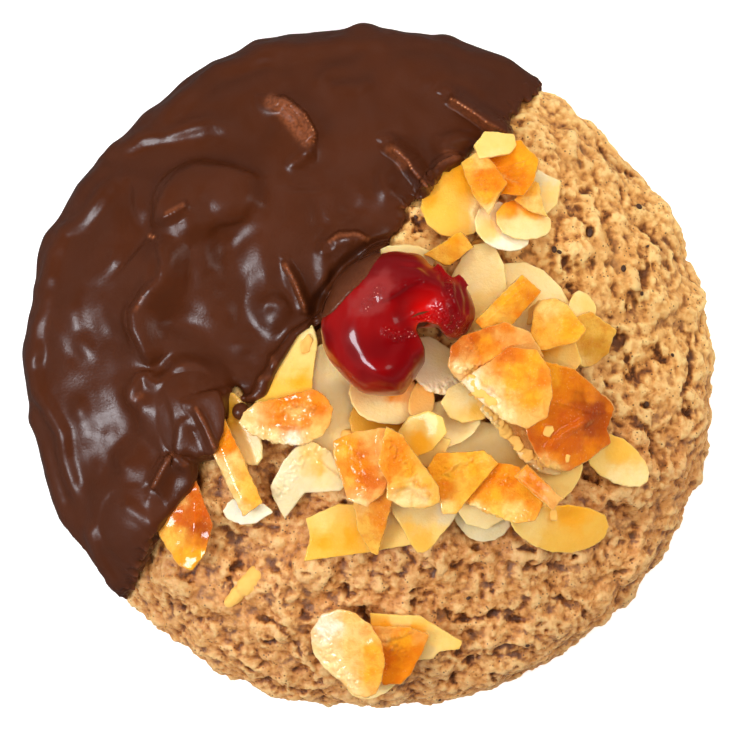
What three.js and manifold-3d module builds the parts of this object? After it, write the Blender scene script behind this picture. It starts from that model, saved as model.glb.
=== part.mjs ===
// A round lebkuchen, half dipped in dark chocolate, topped with flaked almonds
// and a glace cherry. Millimetres, +Z up, origin at the middle of the flat base.
// +Y is the top of the picture that it is usually seen in, looking straight down.

import * as THREE from 'three';
import { mergeVertices } from 'three/addons/utils/BufferGeometryUtils.js';
import { ImprovedNoise } from 'three/addons/math/ImprovedNoise.js';
import Module from 'manifold-3d';

const wasm = await Module();
wasm.setup();
const perlin = new ImprovedNoise();
const RAD = Math.PI / 180;

// ---------------------------------------------------------------- dimensions

const DIAMETER = 89.6;           // mean width of the biscuit seen from above
const PLAN_WAVES = [             // waves of the outline: how many round it, rise, phase in degrees
  { count: 2, rise: 0.7, phase: 66 },
  { count: 3, rise: 0.15, phase: 61 },
  { count: 4, rise: 0.18, phase: 4 },
  { count: 8, rise: 0.12, phase: 119 },
];
const DOME_HEIGHT = 19.5;        // flat base to the top of the dough
const BASE_RADIUS = 42.4;        // flat underside
const DOUGH_FACES = 14;          // icosahedron detail: 20 * (n + 1)^2 faces
const BASE_SHARE = 140;          // polar angle where the side turns into the base

const CRAG_SPAN = 6.2;           // width of a lump of the open crumb
const CRAG_RISE = 0.75;          // height of those lumps over the creases between them
const SWELL_SPAN = 13;           // width of the slow rises and falls of the crumb
const SWELL_RISE = 1.0;
const RIM_CALM = 0.4;            // share of the relief that is left low on the side
const COAT_LEVEL = 0.15;         // chocolate surface over the mean dome
const COATED_DOUGH_LEVEL = -1.15; // dough surface under the chocolate
const BARE_DOUGH_LEVEL = -0.25;  // mean dough surface where it is bare
const RIPPLE_SPAN = 8.5;         // width of the soft bumps in the chocolate
const RIPPLE_RISE = 1.1;
const COAT_FLOOR = 0.6;          // the coat ends this far above the base
const GAP = 0.3;                 // clearance between touching pieces
const COAT_SKIN = 0.75;          // chocolate over an almond or over the cherry

const CHERRY = { at: [3.6, 6.6], rise: 6.6, drop: 4.4, detail: 6 };

// Where the chocolate ends, seen from above, from the lower left rim to the
// upper right one. It bows round the coated edge of the cherry.
const DIP_LINE = [
  [-40, -41], [-32.1, -29.8], [-29.5, -24.2], [-26.9, -20], [-22.7, -14.9], [-23, -11.7],
  [-20.1, -11.1], [-18.6, -7.8], [-18.6, -3.5], [-17.6, -0.8], [-16.2, -3.9], [-13.8, -3.2],
  [-12, 0.1], [-8.9, 4.7], [-6.6, 6], [-1.4, 11.9], [1.7, 15.6], [3.9, 19.1], [4.7, 21.7],
  [8.1, 23.6], [9.2, 25.3], [12, 27.4], [14.2, 30.4], [18.6, 30.6], [17.8, 32.8],
  [20.3, 35.3], [30, 45],
];

// Soft lumps in the chocolate where an almond or a thick drip lies under it:
// centre, length, width, heading in degrees, rise.
const COAT_LUMPS = [
  { at: [-21.5, 22.6], size: [15, 10], heading: 30, rise: 1.9 },
  { at: [-17.5, 21.5], size: [7, 3], heading: 15, rise: 1 },
  { at: [-27.6, 13], size: [12, 5], heading: 85, rise: 1.6 },
  { at: [-30.2, 4.5], size: [11, 5], heading: 100, rise: 1.5 },
  { at: [-22.4, -8.6], size: [7, 7], heading: 60, rise: 1.8 },
  { at: [-10.4, 32.2], size: [11, 5], heading: -52, rise: 1.4 },
  { at: [-29.6, -2.6], size: [6, 5.5], heading: 0, rise: 1.2 },
  { at: [-11.8, 7.4], size: [7, 5], heading: 30, rise: 1.1 },
  { at: [-2.2, 16.6], size: [8, 4], heading: 15, rise: 1.4 },
  { at: [11.2, 28.6], size: [7, 5], heading: 20, rise: 1 },
  { at: [-16.5, 11], size: [8, 6], heading: 70, rise: -0.7 },
];

// Sharp-edged almond slivers standing under the chocolate: crest ends and rise.
const COAT_RIDGES = [
  { from: [10.3, 35.6], to: [18.6, 30.9], width: 4, rise: 1.4 },
  { from: [2.2, 29.2], to: [8.1, 23.6], width: 4, rise: 1.5 },
  { from: [-11.3, 14.2], to: [-8.4, 7.6], width: 3, rise: 1.2 },
];
const RIDGE_ROOT = 1.4;          // how deep a sliver's foot reaches into the coat
const RIDGE_START = 0.2;         // share of the rise at the end away from the dip line

// The cherry's plan radius round its centre, every 30 degrees from +X.
const CHERRY_RADII = [10.0, 10.2, 8.7, 8.9, 8.6, 8.7, 9.5, 9.8, 10.6, 9.8, 7.0, 7.6];
// The torn opening where the stone came out, seen from above.
const CHERRY_NOTCH = [
  [8.6, 6], [7.4, 6.5], [6.2, 6.2], [5.9, 5.2], [6.5, 4.1], [7.1, 2.7], [7.2, 1], [6.6, -1],
  [10, -5], [16, 0], [15, 3.6], [12, 3.8], [9.8, 4.4],
];

// Flaked almonds from the bottom of the heap to its top, first those that the cherry
// rests on and then those beside it. A whole slice is an oval with a
// pointed end, given by centre, length, width and heading; a broken one by its corners.
// `soft` rounds the corners, `lean` tilts the piece uphill: direction and degrees.
const FLAKES_UNDER_CHERRY = [
  { name: 'flake_smooth_left', at: [-4.7, -4.2], size: [15.6, 8.6], heading: 95 },
  { name: 'flake_broad_heap', at: [17.3, -12], size: [15.6, 8.8], heading: -18 },
  { name: 'flake_broad_right', at: [20.7, 8.2], size: [13, 9], heading: -38 },
  { name: 'flake_beside_cherry', at: [13.9, 10.2], size: [12.4, 7], heading: 80 },
  { name: 'flake_over_cherry', at: [3.9, 13.9], size: [8.6, 4.2], heading: 8 },
  { name: 'flake_under_heap', at: [10.2, -6.8], size: [8, 5.4], heading: 15 },
  { name: 'flake_below_cherry', at: [1.6, -6.6], size: [7.6, 4.6], heading: -4 },
  {
    name: 'flake_arc_peach',
    soft: true,
    corners: [[-2.2, -2.8], [-1, -5.2], [1.2, -6.2], [5.2, -6], [6, -3], [3.6, -0.6], [-1, -0.6]],
  },
  { name: 'flake_narrow', at: [6.7, -3.9], size: [4.8, 2.4], heading: 82 },
  {
    name: 'flake_pinkish',
    corners: [
      [5.6, 3.8], [7.6, 3.9], [10.4, 2.1], [12.2, 0], [12.3, -1.6], [10.8, -2.7], [7.7, -2.1],
      [5.4, 0],
    ],
  },
];
const FLAKES_ROUND_CHERRY = [
  { name: 'flake_heap_edge', at: [23.6, -14], size: [8.6, 5.4], heading: 38 },
  { name: 'flake_coated_beige', at: [-16.8, -7.6], size: [9.8, 4], heading: -64 },
  { name: 'flake_foot', at: [-15.9, -17.9], size: [6.9, 4.3], heading: 2 },
  { name: 'flake_top_round', at: [11.4, 22.3], size: [9.8, 8.3], heading: 65 },
  {
    name: 'flake_top_grey',
    corners: [[19.4, 24], [21.1, 26.1], [24.5, 24.4], [24, 21.7], [22.5, 20.3], [20, 21]],
  },
  { name: 'flake_top_cream', at: [17.2, 18.5], size: [7.2, 5.2], heading: -35 },
  { name: 'flake_top_pale', at: [19.9, 19.4], size: [6.8, 4.4], heading: -14 },
  {
    name: 'flake_low_clear',
    soft: true,
    corners: [[10.9, -18.2], [12.9, -21.3], [15, -21.9], [17.2, -21], [18, -19], [15, -16.6], [12, -16.6]],
  },
  {
    name: 'flake_long_band',
    corners: [
      [-8, -19.3], [-4, -17.6], [3.2, -17.8], [5.6, -20], [6, -22.2], [-2, -23.5], [-8.3, -24.5],
      [-7.4, -21.5],
    ],
  },
  {
    name: 'flake_tongue',
    soft: true,
    corners: [[2.6, -16.6], [9, -16.8], [11, -18.4], [8.8, -21.2], [7.4, -23], [6.2, -23.2], [4.4, -20]],
  },
  {
    name: 'flake_half_moon',
    soft: true,
    corners: [
      [18.4, -19.3], [22, -18], [27, -17.8], [30.6, -19.3], [30.2, -21.6], [26.6, -23.3], [22.4, -22.9],
      [19.6, -21.2],
    ],
    thick: 1.1,
  },
  { name: 'flake_oval_right', at: [32.2, -11.8], size: [8.8, 4.9], heading: -34, thick: 1.3 },
  {
    name: 'flake_white',
    corners: [
      [-12.6, -15], [-10.9, -11.8], [-9.4, -10.2], [-7.5, -9.4], [-5.4, -10.6], [-3.2, -14.6],
      [-4, -15.3], [-8.5, -15.5], [-11, -18.9], [-12.1, -16.6],
    ],
  },
  {
    name: 'flake_yellow_left',
    corners: [
      [-7.6, 5.5], [-9.6, 4.3], [-11.8, 1.2], [-14.6, -3.9], [-10, -4.1], [-8, -3], [-7.7, 0.5],
      [-7.2, 3.6],
    ],
  },
  {
    name: 'flake_orange_left',
    soft: true,
    corners: [
      [-16.7, -6.7], [-15.2, -4.8], [-10.4, -3.6], [-7, -2.8], [-5.1, -5], [-6, -7.7], [-9, -9.2],
      [-13, -8.8],
    ],
  },
  { name: 'stick_left', at: [-18.5, -11], bar: [15.6, 3.1], heading: -65, thick: 1.8 },
  {
    name: 'flake_amber',
    corners: [
      [-22.6, -15], [-20.7, -20], [-21.6, -23.6], [-23.2, -25.7], [-24.6, -25], [-27, -21.6],
      [-28.4, -16.4], [-26.4, -11.8], [-24, -12.2],
    ],
    thick: 1.4,
  },
  {
    name: 'flake_spike',
    corners: [[-2, -16], [2.6, -15.6], [2.6, -16.8], [1.5, -21], [0.9, -23.5], [0.3, -23.2], [-1.2, -20.5]],
  },
  {
    name: 'stick_by_cherry',
    corners: [[7.2, 15], [10.2, 18], [12, 17.7], [13.4, 16], [10.9, 14.1], [9.4, 13.6]],
    thick: 1.7,
  },
  {
    name: 'flake_pale_bit',
    soft: true,
    corners: [[25.9, 7.8], [27, 10.1], [28.6, 9], [29, 7.6], [27, 6.6]],
  },
  {
    name: 'flake_ochre',
    corners: [
      [26.9, 6.5], [28.4, 7.2], [31.5, 5.2], [30.6, 2.6], [29, 1.2], [27.8, 0.8], [26.4, 1.8],
      [25.9, 4],
    ],
  },
  {
    name: 'flake_yellow_low',
    corners: [[21.2, 4.6], [22, 1.4], [24, -0.2], [25.8, 0], [26.8, 1.2], [26, 3.4], [24.4, 4.6]],
  },
  {
    name: 'flake_yellow_high',
    corners: [
      [21.7, 7.4], [22.5, 8.5], [23.9, 8.7], [25.2, 7.9], [27.3, 5.2], [26.1, 4.2], [22.5, 3.2],
      [21.4, 4.6],
    ],
  },
  {
    name: 'flake_low_middle',
    corners: [[6.6, -10.2], [8.2, -8.9], [9.9, -9.2], [9, -11], [8.2, -11.8], [6.4, -11.9]],
  },
  {
    name: 'flake_yellow_middle',
    corners: [[4.2, -8], [5.4, -6.4], [7.6, -5.7], [9, -6.5], [9.4, -7.8], [7.8, -9.8], [5.6, -10.9]],
  },
  {
    name: 'flake_face_left',
    corners: [
      [-4.3, -9.4], [-1.6, -8.3], [1.7, -7.8], [0.9, -12], [2, -14], [1.2, -15.6], [-0.5, -17],
      [-2.4, -16.3], [-4.2, -11],
    ],
    lean: [0, 14],
  },
  {
    name: 'flake_face_right',
    corners: [
      [2.3, -7.7], [3.6, -8.5], [5.4, -11], [8.4, -15.2], [8.5, -16.7], [7, -17.3], [4.5, -17.1],
      [2.6, -16.2], [2.7, -14], [1.6, -12],
    ],
    lean: [150, 13],
  },
  {
    name: 'flake_pale_low',
    corners: [[11, -16.8], [12.8, -19.4], [15, -20], [17, -19], [15.6, -16.8], [13, -15.8]],
  },
  {
    name: 'flake_glazed',
    corners: [
      [16, -12.4], [19, -13], [20.3, -15.2], [21.8, -17.1], [21, -18.9], [19, -19.2], [15.4, -17.8],
      [11.9, -16.4], [13.6, -14],
    ],
  },
  {
    name: 'flake_golden',
    corners: [
      [7.9, -12.6], [8.9, -11.2], [14.5, -10.9], [16, -12], [14.4, -13.7], [12, -16.5],
      [10.8, -18], [9.7, -18.1], [9.4, -15.6],
    ],
  },
  { name: 'stick_low', at: [21.8, -15.1], bar: [6.2, 1.8], heading: -43, thick: 1.4 },
  {
    name: 'flake_heap_small',
    corners: [
      [9.8, -4.2], [10.6, -2.8], [12, -1.9], [15, -4], [15.6, -5], [14.2, -5.7], [12, -6.1],
      [10.7, -5.6],
    ],
  },
  {
    name: 'flake_peach_band',
    corners: [
      [14.6, -5], [16.7, -6.9], [18.2, -8.6], [20, -11], [22.5, -12.9], [24.4, -13.1], [25, -9],
      [20, -4.4], [16, -3.8],
    ],
  },
  {
    name: 'flake_toasted',
    corners: [
      [22.6, 0.8], [26.2, -0.1], [30.9, -4.2], [31.3, -5], [30.3, -7.4], [30.8, -9.2], [28, -11.3],
      [25.4, -12.7], [22.6, -12], [20.6, -8], [20.4, -3],
    ],
    thick: 1.2,
  },
  { name: 'stick_right', at: [17.9, 8.1], bar: [8.6, 3.4], heading: 46, thick: 1.8 },
  {
    name: 'flake_ridge',
    corners: [
      [10.9, 2.9], [12.2, 4.1], [17.2, 5.8], [20.4, 4.6], [22, 2], [18, 0.6], [14, -0.5], [11.8, -0.9],
      [10.5, 0.7],
    ],
  },
  {
    name: 'flake_lobe',
    corners: [
      [12.2, -1.4], [15, 0.2], [18, 2.5], [21.2, 2.3], [22.8, 0], [23.1, -3], [22.4, -5.7], [20.2, -7],
      [18, -6.2], [14.8, -3.8],
    ],
  },
  {
    name: 'flake_top_fragment',
    corners: [[19.2, 22.1], [20.8, 24.3], [21.6, 24], [21.7, 22.5], [22.6, 20.3], [20.8, 21.1]],
  },
  {
    name: 'flake_top_toasted',
    corners: [
      [14.3, 27.4], [17.5, 29.4], [19.4, 29.3], [21.4, 27], [20.7, 24.6], [19.6, 23.2], [17, 23.3],
      [15.6, 25.4],
    ],
  },
  {
    name: 'flake_top_spike',
    corners: [
      [12.4, 26.7], [14.2, 27.9], [15.6, 26.2], [17, 24.1], [15.9, 22.6], [15.3, 20.8], [14.2, 22.6],
      [13.2, 24.8],
    ],
  },
  {
    name: 'flake_top_pale_slab',
    corners: [[13.9, 29], [15.1, 30.6], [18.3, 30.3], [18.5, 29.2], [17.8, 28.4], [14.4, 27.8]],
  },
  { name: 'flake_base_under', at: [0.5, -40], size: [7, 4.4], heading: 20 },
  {
    name: 'flake_base_point',
    corners: [
      [0.2, -31.7], [4, -32.1], [6.2, -32.1], [11.7, -35.3], [11.4, -36], [9, -36.2], [8, -37.2],
      [5.6, -37.4], [0.6, -35],
    ],
  },
  {
    name: 'flake_base_orange',
    corners: [
      [0.4, -33.5], [5, -33.8], [7.2, -34.5], [6.5, -36], [5, -39], [3.8, -40.2], [2, -40.4],
      [0.4, -37],
    ],
  },
  {
    name: 'flake_base_cream',
    soft: true,
    corners: [
      [-7.3, -34], [-5.2, -31.5], [-2.4, -31.6], [0, -33.5], [1.5, -36.5], [1.2, -40], [0.2, -42],
      [-1.6, -41.9], [-4, -39.6], [-6.6, -37.4],
    ],
  },
];

const FLAKE_THICK = 1.0;
const FLAKE_POINTS = 14;         // outline points of a whole or rounded slice
const TIP = 0.16;                // how much narrower the pointed end is

const FIELD = { step: 0.35, x: [-32, 40], y: [-46, 36] }; // heights the toppings rest on
const STEEPEST = 0.42;           // steepest slope of a resting flake against the dome
const TOUCH_GAP = 0.32;          // room left between a flake and what it rests on

const LOOKS = {
  dough: { color: 0xc08f55, roughness: 0.85 },
  chocolate: { color: 0x3a2219, roughness: 0.35 },
  cherry: { color: 0x8e0508, roughness: 0.15 },
  pale: { color: 0xf0d28c, roughness: 0.5 },
  golden: { color: 0xf0b046, roughness: 0.45 },
  toasted: { color: 0xd07a18, roughness: 0.4 },
};
// Almonds that the oven browned; the others stayed pale.
const GOLDEN = [
  'flake_orange_left', 'flake_spike', 'flake_face_right', 'flake_golden', 'flake_glazed',
  'flake_lobe', 'flake_top_spike', 'flake_top_fragment', 'flake_ochre', 'flake_peach_band',
  'flake_yellow_high', 'stick_left', 'stick_low', 'stick_by_cherry', 'stick_right',
];
const TOASTED = [
  'flake_toasted', 'flake_amber', 'flake_face_left', 'flake_ridge', 'flake_top_toasted',
  'flake_base_orange',
];

// ------------------------------------------------------------------- helpers

function smoothstep(low, high, value) {
  const t = Math.min(Math.max((value - low) / (high - low), 0), 1);
  return t * t * (3 - 2 * t);
}

// The geometry with only its shared corners kept, as the booleans need it.
function welded(geometry) {
  geometry.deleteAttribute('normal');
  geometry.deleteAttribute('uv');
  return mergeVertices(geometry, 1e-4);
}

function toSolid(geometry) {
  const merged = welded(geometry);
  return new wasm.Manifold(new wasm.Mesh({
    numProp: 3,
    vertProperties: new Float32Array(merged.attributes.position.array),
    triVerts: new Uint32Array(merged.index.array),
  }));
}

function toGeometry(solid) {
  const mesh = solid.getMesh();
  const geometry = new THREE.BufferGeometry();
  geometry.setAttribute('position', new THREE.BufferAttribute(new Float32Array(mesh.vertProperties), 3));
  geometry.setIndex(new THREE.BufferAttribute(new Uint32Array(mesh.triVerts), 1));
  return geometry;
}

// The largest of the pieces that a cut leaves, without its scraps.
function largestPiece(solid) {
  const pieces = solid.decompose();
  return pieces.reduce((best, piece) => (piece.volume() > best.volume() ? piece : best));
}

// ----------------------------------------------------------------- dip line

function dipOutline() {
  const line = DIP_LINE.map(([x, y]) => new THREE.Vector2(x, y));
  return [...line, new THREE.Vector2(30, 60), new THREE.Vector2(-60, 60), new THREE.Vector2(-60, -41)];
}

// Distance from the dip line in the plan, positive on the chocolate's side.
function chocolateDepth(x, y) {
  let nearest = Infinity;
  let inside = false;
  const outline = dipOutline();
  outline.forEach((a, i) => {
    const b = outline[(i + 1) % outline.length];
    if ((a.y > y) !== (b.y > y) && x < a.x + (b.x - a.x) * (y - a.y) / (b.y - a.y)) inside = !inside;
    const length = Math.max(a.distanceToSquared(b), 1e-9);
    const t = Math.min(Math.max(((x - a.x) * (b.x - a.x) + (y - a.y) * (b.y - a.y)) / length, 0), 1);
    nearest = Math.min(nearest, Math.hypot(x - a.x - t * (b.x - a.x), y - a.y - t * (b.y - a.y)));
  });
  return inside ? nearest : -nearest;
}

// --------------------------------------------------------------------- dome

// The dome's section from its top to the edge of the flat base, as shares of
// the radius and the height.
const PROFILE = new THREE.SplineCurve([
  new THREE.Vector2(0, 1), new THREE.Vector2(0.33, 0.975), new THREE.Vector2(0.6, 0.885),
  new THREE.Vector2(0.81, 0.7), new THREE.Vector2(0.935, 0.5), new THREE.Vector2(0.995, 0.28),
  new THREE.Vector2(0.985, 0.1), new THREE.Vector2((2 * BASE_RADIUS) / DIAMETER, 0),
].map((share) => new THREE.Vector2(share.x * DIAMETER / 2, share.y * DOME_HEIGHT)));

// The section cut into steps, with the surface area up to each.
function sectionSteps(count) {
  const points = PROFILE.getPoints(count);
  let area = 0;
  return points.map((point, i) => {
    const before = points[Math.max(i - 1, 0)];
    area += Math.max(point.x + before.x, 0) * point.distanceTo(before);
    const after = points[Math.min(i + 1, count)];
    const along = after.clone().sub(before).normalize();
    return { r: Math.max(point.x, 0), z: point.y, area, normal: new THREE.Vector2(-along.y, along.x) };
  });
}
const SECTION = sectionSteps(400);

function planSwell(theta) {
  const waves = PLAN_WAVES.map((wave) => wave.rise * Math.cos(wave.count * theta + wave.phase * RAD));
  return waves.reduce((sum, wave) => sum + wave, 0);
}

// One point of the dome for a direction from a sphere's centre, so that equal
// areas of the sphere give equal areas of the dome.
function domePoint(direction, relief) {
  const theta = Math.atan2(direction.y, direction.x);
  const turn = new THREE.Vector2(Math.cos(theta), Math.sin(theta));
  const edge = Math.cos(BASE_SHARE * RAD);
  if (direction.z <= edge) {
    const r = (BASE_RADIUS + planSwell(theta)) * Math.sqrt(Math.max(1 + direction.z, 0) / (1 + edge));
    return new THREE.Vector3(r * turn.x, r * turn.y, 0);
  }
  const share = (1 - direction.z) / (1 - edge) * SECTION[SECTION.length - 1].area;
  const step = SECTION.find((candidate) => candidate.area >= share);
  const r = step.r + planSwell(theta) * step.r / (DIAMETER / 2);
  const flat = smoothstep(0, 2.5, step.z);
  const rise = flat * relief(r * turn.x, r * turn.y, step.z);
  const out = r + rise * step.normal.x;
  return new THREE.Vector3(out * turn.x, out * turn.y, step.z + rise * step.normal.y);
}

// The slope of the bare dome at a point of the plan, as dz/dx and dz/dy.
function domeSlope(point) {
  const r = point.length();
  const step = SECTION.find((candidate) => candidate.r >= r) ?? SECTION[SECTION.length - 1];
  return point.clone().multiplyScalar(-step.normal.x / (step.normal.y * r));
}

function dome(relief) {
  const geometry = welded(new THREE.IcosahedronGeometry(1, DOUGH_FACES));
  const position = geometry.attributes.position;
  const point = new THREE.Vector3();
  for (let i = 0; i < position.count; i += 1) {
    const placed = domePoint(point.fromBufferAttribute(position, i).normalize(), relief);
    position.setXYZ(i, placed.x, placed.y, placed.z);
  }
  return geometry;
}

// Lumps of the open crumb, with creases between them.
function crags(x, y, z) {
  const lump = 2 * Math.abs(perlin.noise(x / CRAG_SPAN, y / CRAG_SPAN, z / CRAG_SPAN));
  const swell = perlin.noise(x / SWELL_SPAN + 7, y / SWELL_SPAN, z / SWELL_SPAN);
  const calm = RIM_CALM + (1 - RIM_CALM) * smoothstep(4, 14, z);
  return calm * (CRAG_RISE * (2 * Math.min(lump, 1) - 0.6) + SWELL_RISE * swell);
}

function doughRelief(grow) {
  return (x, y, z) => {
    const covered = smoothstep(-1.2, 1.6, chocolateDepth(x, y));
    const bare = BARE_DOUGH_LEVEL + crags(x, y, z);
    return grow + bare + (COATED_DOUGH_LEVEL - bare) * covered;
  };
}

function lumpHeight(lump, x, y) {
  const dx = x - lump.at[0];
  const dy = y - lump.at[1];
  const turn = lump.heading * RAD;
  const u = (dx * Math.cos(turn) + dy * Math.sin(turn)) / (lump.size[0] / 2);
  const v = (dy * Math.cos(turn) - dx * Math.sin(turn)) / (lump.size[1] / 2);
  const inside = Math.max(1 - (u * u + v * v) / 1.6, 0);
  return lump.rise * inside * inside;
}

function coatRelief(x, y, z) {
  const ripple = RIPPLE_RISE * perlin.noise(x / RIPPLE_SPAN + 3, y / RIPPLE_SPAN + 5, z / RIPPLE_SPAN);
  const lumps = COAT_LUMPS.reduce((sum, lump) => sum + lumpHeight(lump, x, y), 0);
  return COAT_LEVEL + ripple + lumps;
}

// ------------------------------------------------------------ height field

const COLUMNS = Math.round((FIELD.x[1] - FIELD.x[0]) / FIELD.step) + 1;
const ROWS = Math.round((FIELD.y[1] - FIELD.y[0]) / FIELD.step) + 1;

// Calls back for each grid point under the triangles of a mesh, with the height there.
function overGrid(geometry, visit) {
  const position = geometry.attributes.position;
  const corners = [new THREE.Vector3(), new THREE.Vector3(), new THREE.Vector3()];
  for (let t = 0; t < geometry.index.count; t += 3) {
    corners.forEach((corner, k) => corner.fromBufferAttribute(position, geometry.index.getX(t + k)));
    const [a, b, c] = corners;
    const area = (b.x - a.x) * (c.y - a.y) - (c.x - a.x) * (b.y - a.y);
    if (Math.abs(area) < 1e-9) continue;
    const column = (x) => (x - FIELD.x[0]) / FIELD.step;
    const row = (y) => (y - FIELD.y[0]) / FIELD.step;
    const lastColumn = Math.min(Math.floor(column(Math.max(a.x, b.x, c.x))), COLUMNS - 1);
    const lastRow = Math.min(Math.floor(row(Math.max(a.y, b.y, c.y))), ROWS - 1);
    for (let j = Math.max(Math.ceil(row(Math.min(a.y, b.y, c.y))), 0); j <= lastRow; j += 1) {
      for (let i = Math.max(Math.ceil(column(Math.min(a.x, b.x, c.x))), 0); i <= lastColumn; i += 1) {
        const x = FIELD.x[0] + i * FIELD.step;
        const y = FIELD.y[0] + j * FIELD.step;
        const u = ((x - a.x) * (c.y - a.y) - (c.x - a.x) * (y - a.y)) / area;
        const v = ((b.x - a.x) * (y - a.y) - (x - a.x) * (b.y - a.y)) / area;
        if (u < 0 || v < 0 || u + v > 1) continue;
        visit(j * COLUMNS + i, x, y, a.z + u * (b.z - a.z) + v * (c.z - a.z));
      }
    }
  }
}

function raiseField(field, geometry) {
  overGrid(geometry, (cell, x, y, z) => {
    field[cell] = Math.max(field[cell], z);
  });
}

// ------------------------------------------------------------------- flakes

function centreOf(points) {
  const sum = points.reduce((total, point) => total.add(point), new THREE.Vector2());
  return sum.divideScalar(points.length);
}

function slicePoints(flake) {
  return Array.from({ length: FLAKE_POINTS }, (_, i) => {
    const turn = 2 * Math.PI * i / FLAKE_POINTS;
    const narrow = 1 - TIP * Math.cos(turn);
    return new THREE.Vector2(flake.size[0] / 2 * Math.cos(turn), flake.size[1] / 2 * Math.sin(turn) * narrow);
  });
}

function barPoints(flake) {
  const [length, width] = flake.bar;
  return [[1, -0.8], [0.94, 0.9], [-0.96, 1], [-1, -1]].map(
    ([u, v]) => new THREE.Vector2(u * length / 2, v * width / 2),
  );
}

function softened(points) {
  const closed = new THREE.CatmullRomCurve3(points.map((p) => new THREE.Vector3(p.x, p.y, 0)), true);
  return closed.getPoints(FLAKE_POINTS).slice(0, FLAKE_POINTS).map((p) => new THREE.Vector2(p.x, p.y));
}

// A flake's outline in the plan, counter-clockwise.
function flakeOutline(flake) {
  let points;
  if (flake.corners) {
    points = flake.corners.map(([x, y]) => new THREE.Vector2(x, y));
    if (flake.soft) points = softened(points);
  } else {
    const local = flake.bar ? barPoints(flake) : slicePoints(flake);
    const at = new THREE.Vector2(...flake.at);
    points = local.map((p) => p.rotateAround(new THREE.Vector2(), flake.heading * RAD).add(at));
  }
  return THREE.ShapeUtils.area(points) < 0 ? points.reverse() : points;
}

// The outline moved outwards by a distance, corner by corner.
function grown(points, distance) {
  return points.map((point, i) => {
    const before = points[(i + points.length - 1) % points.length];
    const after = points[(i + 1) % points.length];
    const first = point.clone().sub(before).normalize();
    const second = after.clone().sub(point).normalize();
    const out = new THREE.Vector2(first.y + second.y, -first.x - second.x);
    const reach = Math.max(out.lengthSq() / 2, 0.45);
    return point.clone().add(out.multiplyScalar(distance / reach));
  });
}

// A plate with that outline whose underside lies in the plane z = c + a x + b y.
function plate(points, plane, thick) {
  const geometry = new THREE.ExtrudeGeometry(new THREE.Shape(points), {
    depth: thick, bevelEnabled: false, steps: 1,
  });
  const merged = welded(geometry);
  const position = merged.attributes.position;
  for (let i = 0; i < position.count; i += 1) {
    const under = plane.c + plane.a * position.getX(i) + plane.b * position.getY(i);
    position.setZ(i, position.getZ(i) + under);
  }
  return merged;
}

// The lowest value of a bowl-shaped function between two ends.
function lowest(measure, low, high, rounds) {
  let a = low;
  let b = high;
  for (let i = 0; i < rounds; i += 1) {
    const third = (b - a) / 3;
    if (measure(a + third) < measure(b - third)) b -= third;
    else a += third;
  }
  return (a + b) / 2;
}

// The plane on which a flake comes to rest: the one that brings its middle lowest
// while it clears every point below it.
function restingPlane(flake, points, field) {
  const centre = centreOf(points);
  const under = [];
  overGrid(plate(grown(points, TOUCH_GAP + FIELD.step / 2), { a: 0, b: 0, c: 0 }, 1), (cell, x, y, z) => {
    if (z < 0.5) under.push([x - centre.x, y - centre.y, field[cell]]);
  });
  const height = (a, b) => under.reduce((top, [x, y, z]) => Math.max(top, z - a * x - b * y), -Infinity);
  let a;
  let b;
  if (flake.lean) {
    const slope = Math.tan(flake.lean[1] * RAD);
    a = slope * Math.cos(flake.lean[0] * RAD);
    b = slope * Math.sin(flake.lean[0] * RAD);
  } else {
    const dip = domeSlope(centre);
    const bestB = (tilt) => lowest((other) => height(tilt, other), dip.y - STEEPEST, dip.y + STEEPEST, 16);
    a = lowest((tilt) => height(tilt, bestB(tilt)), dip.x - STEEPEST, dip.x + STEEPEST, 16);
    b = bestB(a);
  }
  return { a, b, c: height(a, b) + TOUCH_GAP - a * centre.x - b * centre.y };
}

function layFlake(flake, field) {
  const points = flakeOutline(flake);
  const plane = restingPlane(flake, points, field);
  const thick = (flake.thick ?? FLAKE_THICK) * Math.hypot(1, plane.a, plane.b);
  raiseField(field, plate(grown(points, GAP), plane, thick));
  const solid = (margin) => plate(
    grown(points, margin),
    { ...plane, c: plane.c - margin },
    thick + 2 * margin,
  );
  const dipped = points.some((point) => chocolateDepth(point.x, point.y) > -0.6);
  return { name: flake.name, dipped, solid };
}

// A flake beside the cherry, hollowed where it would touch it.
function clearOfCherry(entry, lift) {
  const flake = toSolid(entry.solid(0));
  return toGeometry(largestPiece(flake.subtract(wholeCherry(GAP, lift))));
}

// ------------------------------------------------------------------- cherry

function cherryRadius(theta) {
  const turns = ((theta / (2 * Math.PI)) % 1 + 1) % 1 * CHERRY_RADII.length;
  const before = Math.floor(turns) % CHERRY_RADII.length;
  const after = (before + 1) % CHERRY_RADII.length;
  const share = smoothstep(0, 1, turns - Math.floor(turns));
  return CHERRY_RADII[before] * (1 - share) + CHERRY_RADII[after] * share;
}

// The chocolate that fills the hollow under the cherry's rim.
function cherryApron(lift) {
  const points = Array.from({ length: 24 }, (_, i) => {
    const theta = i * 15 * RAD;
    const reach = cherryRadius(theta) + GAP + COAT_SKIN / 2;
    return new THREE.Vector2(CHERRY.at[0] + reach * Math.cos(theta), CHERRY.at[1] + reach * Math.sin(theta));
  });
  return toSolid(plate(points, { a: 0, b: 0, c: lift - 2 * CHERRY.drop }, 2 * CHERRY.drop));
}

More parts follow.
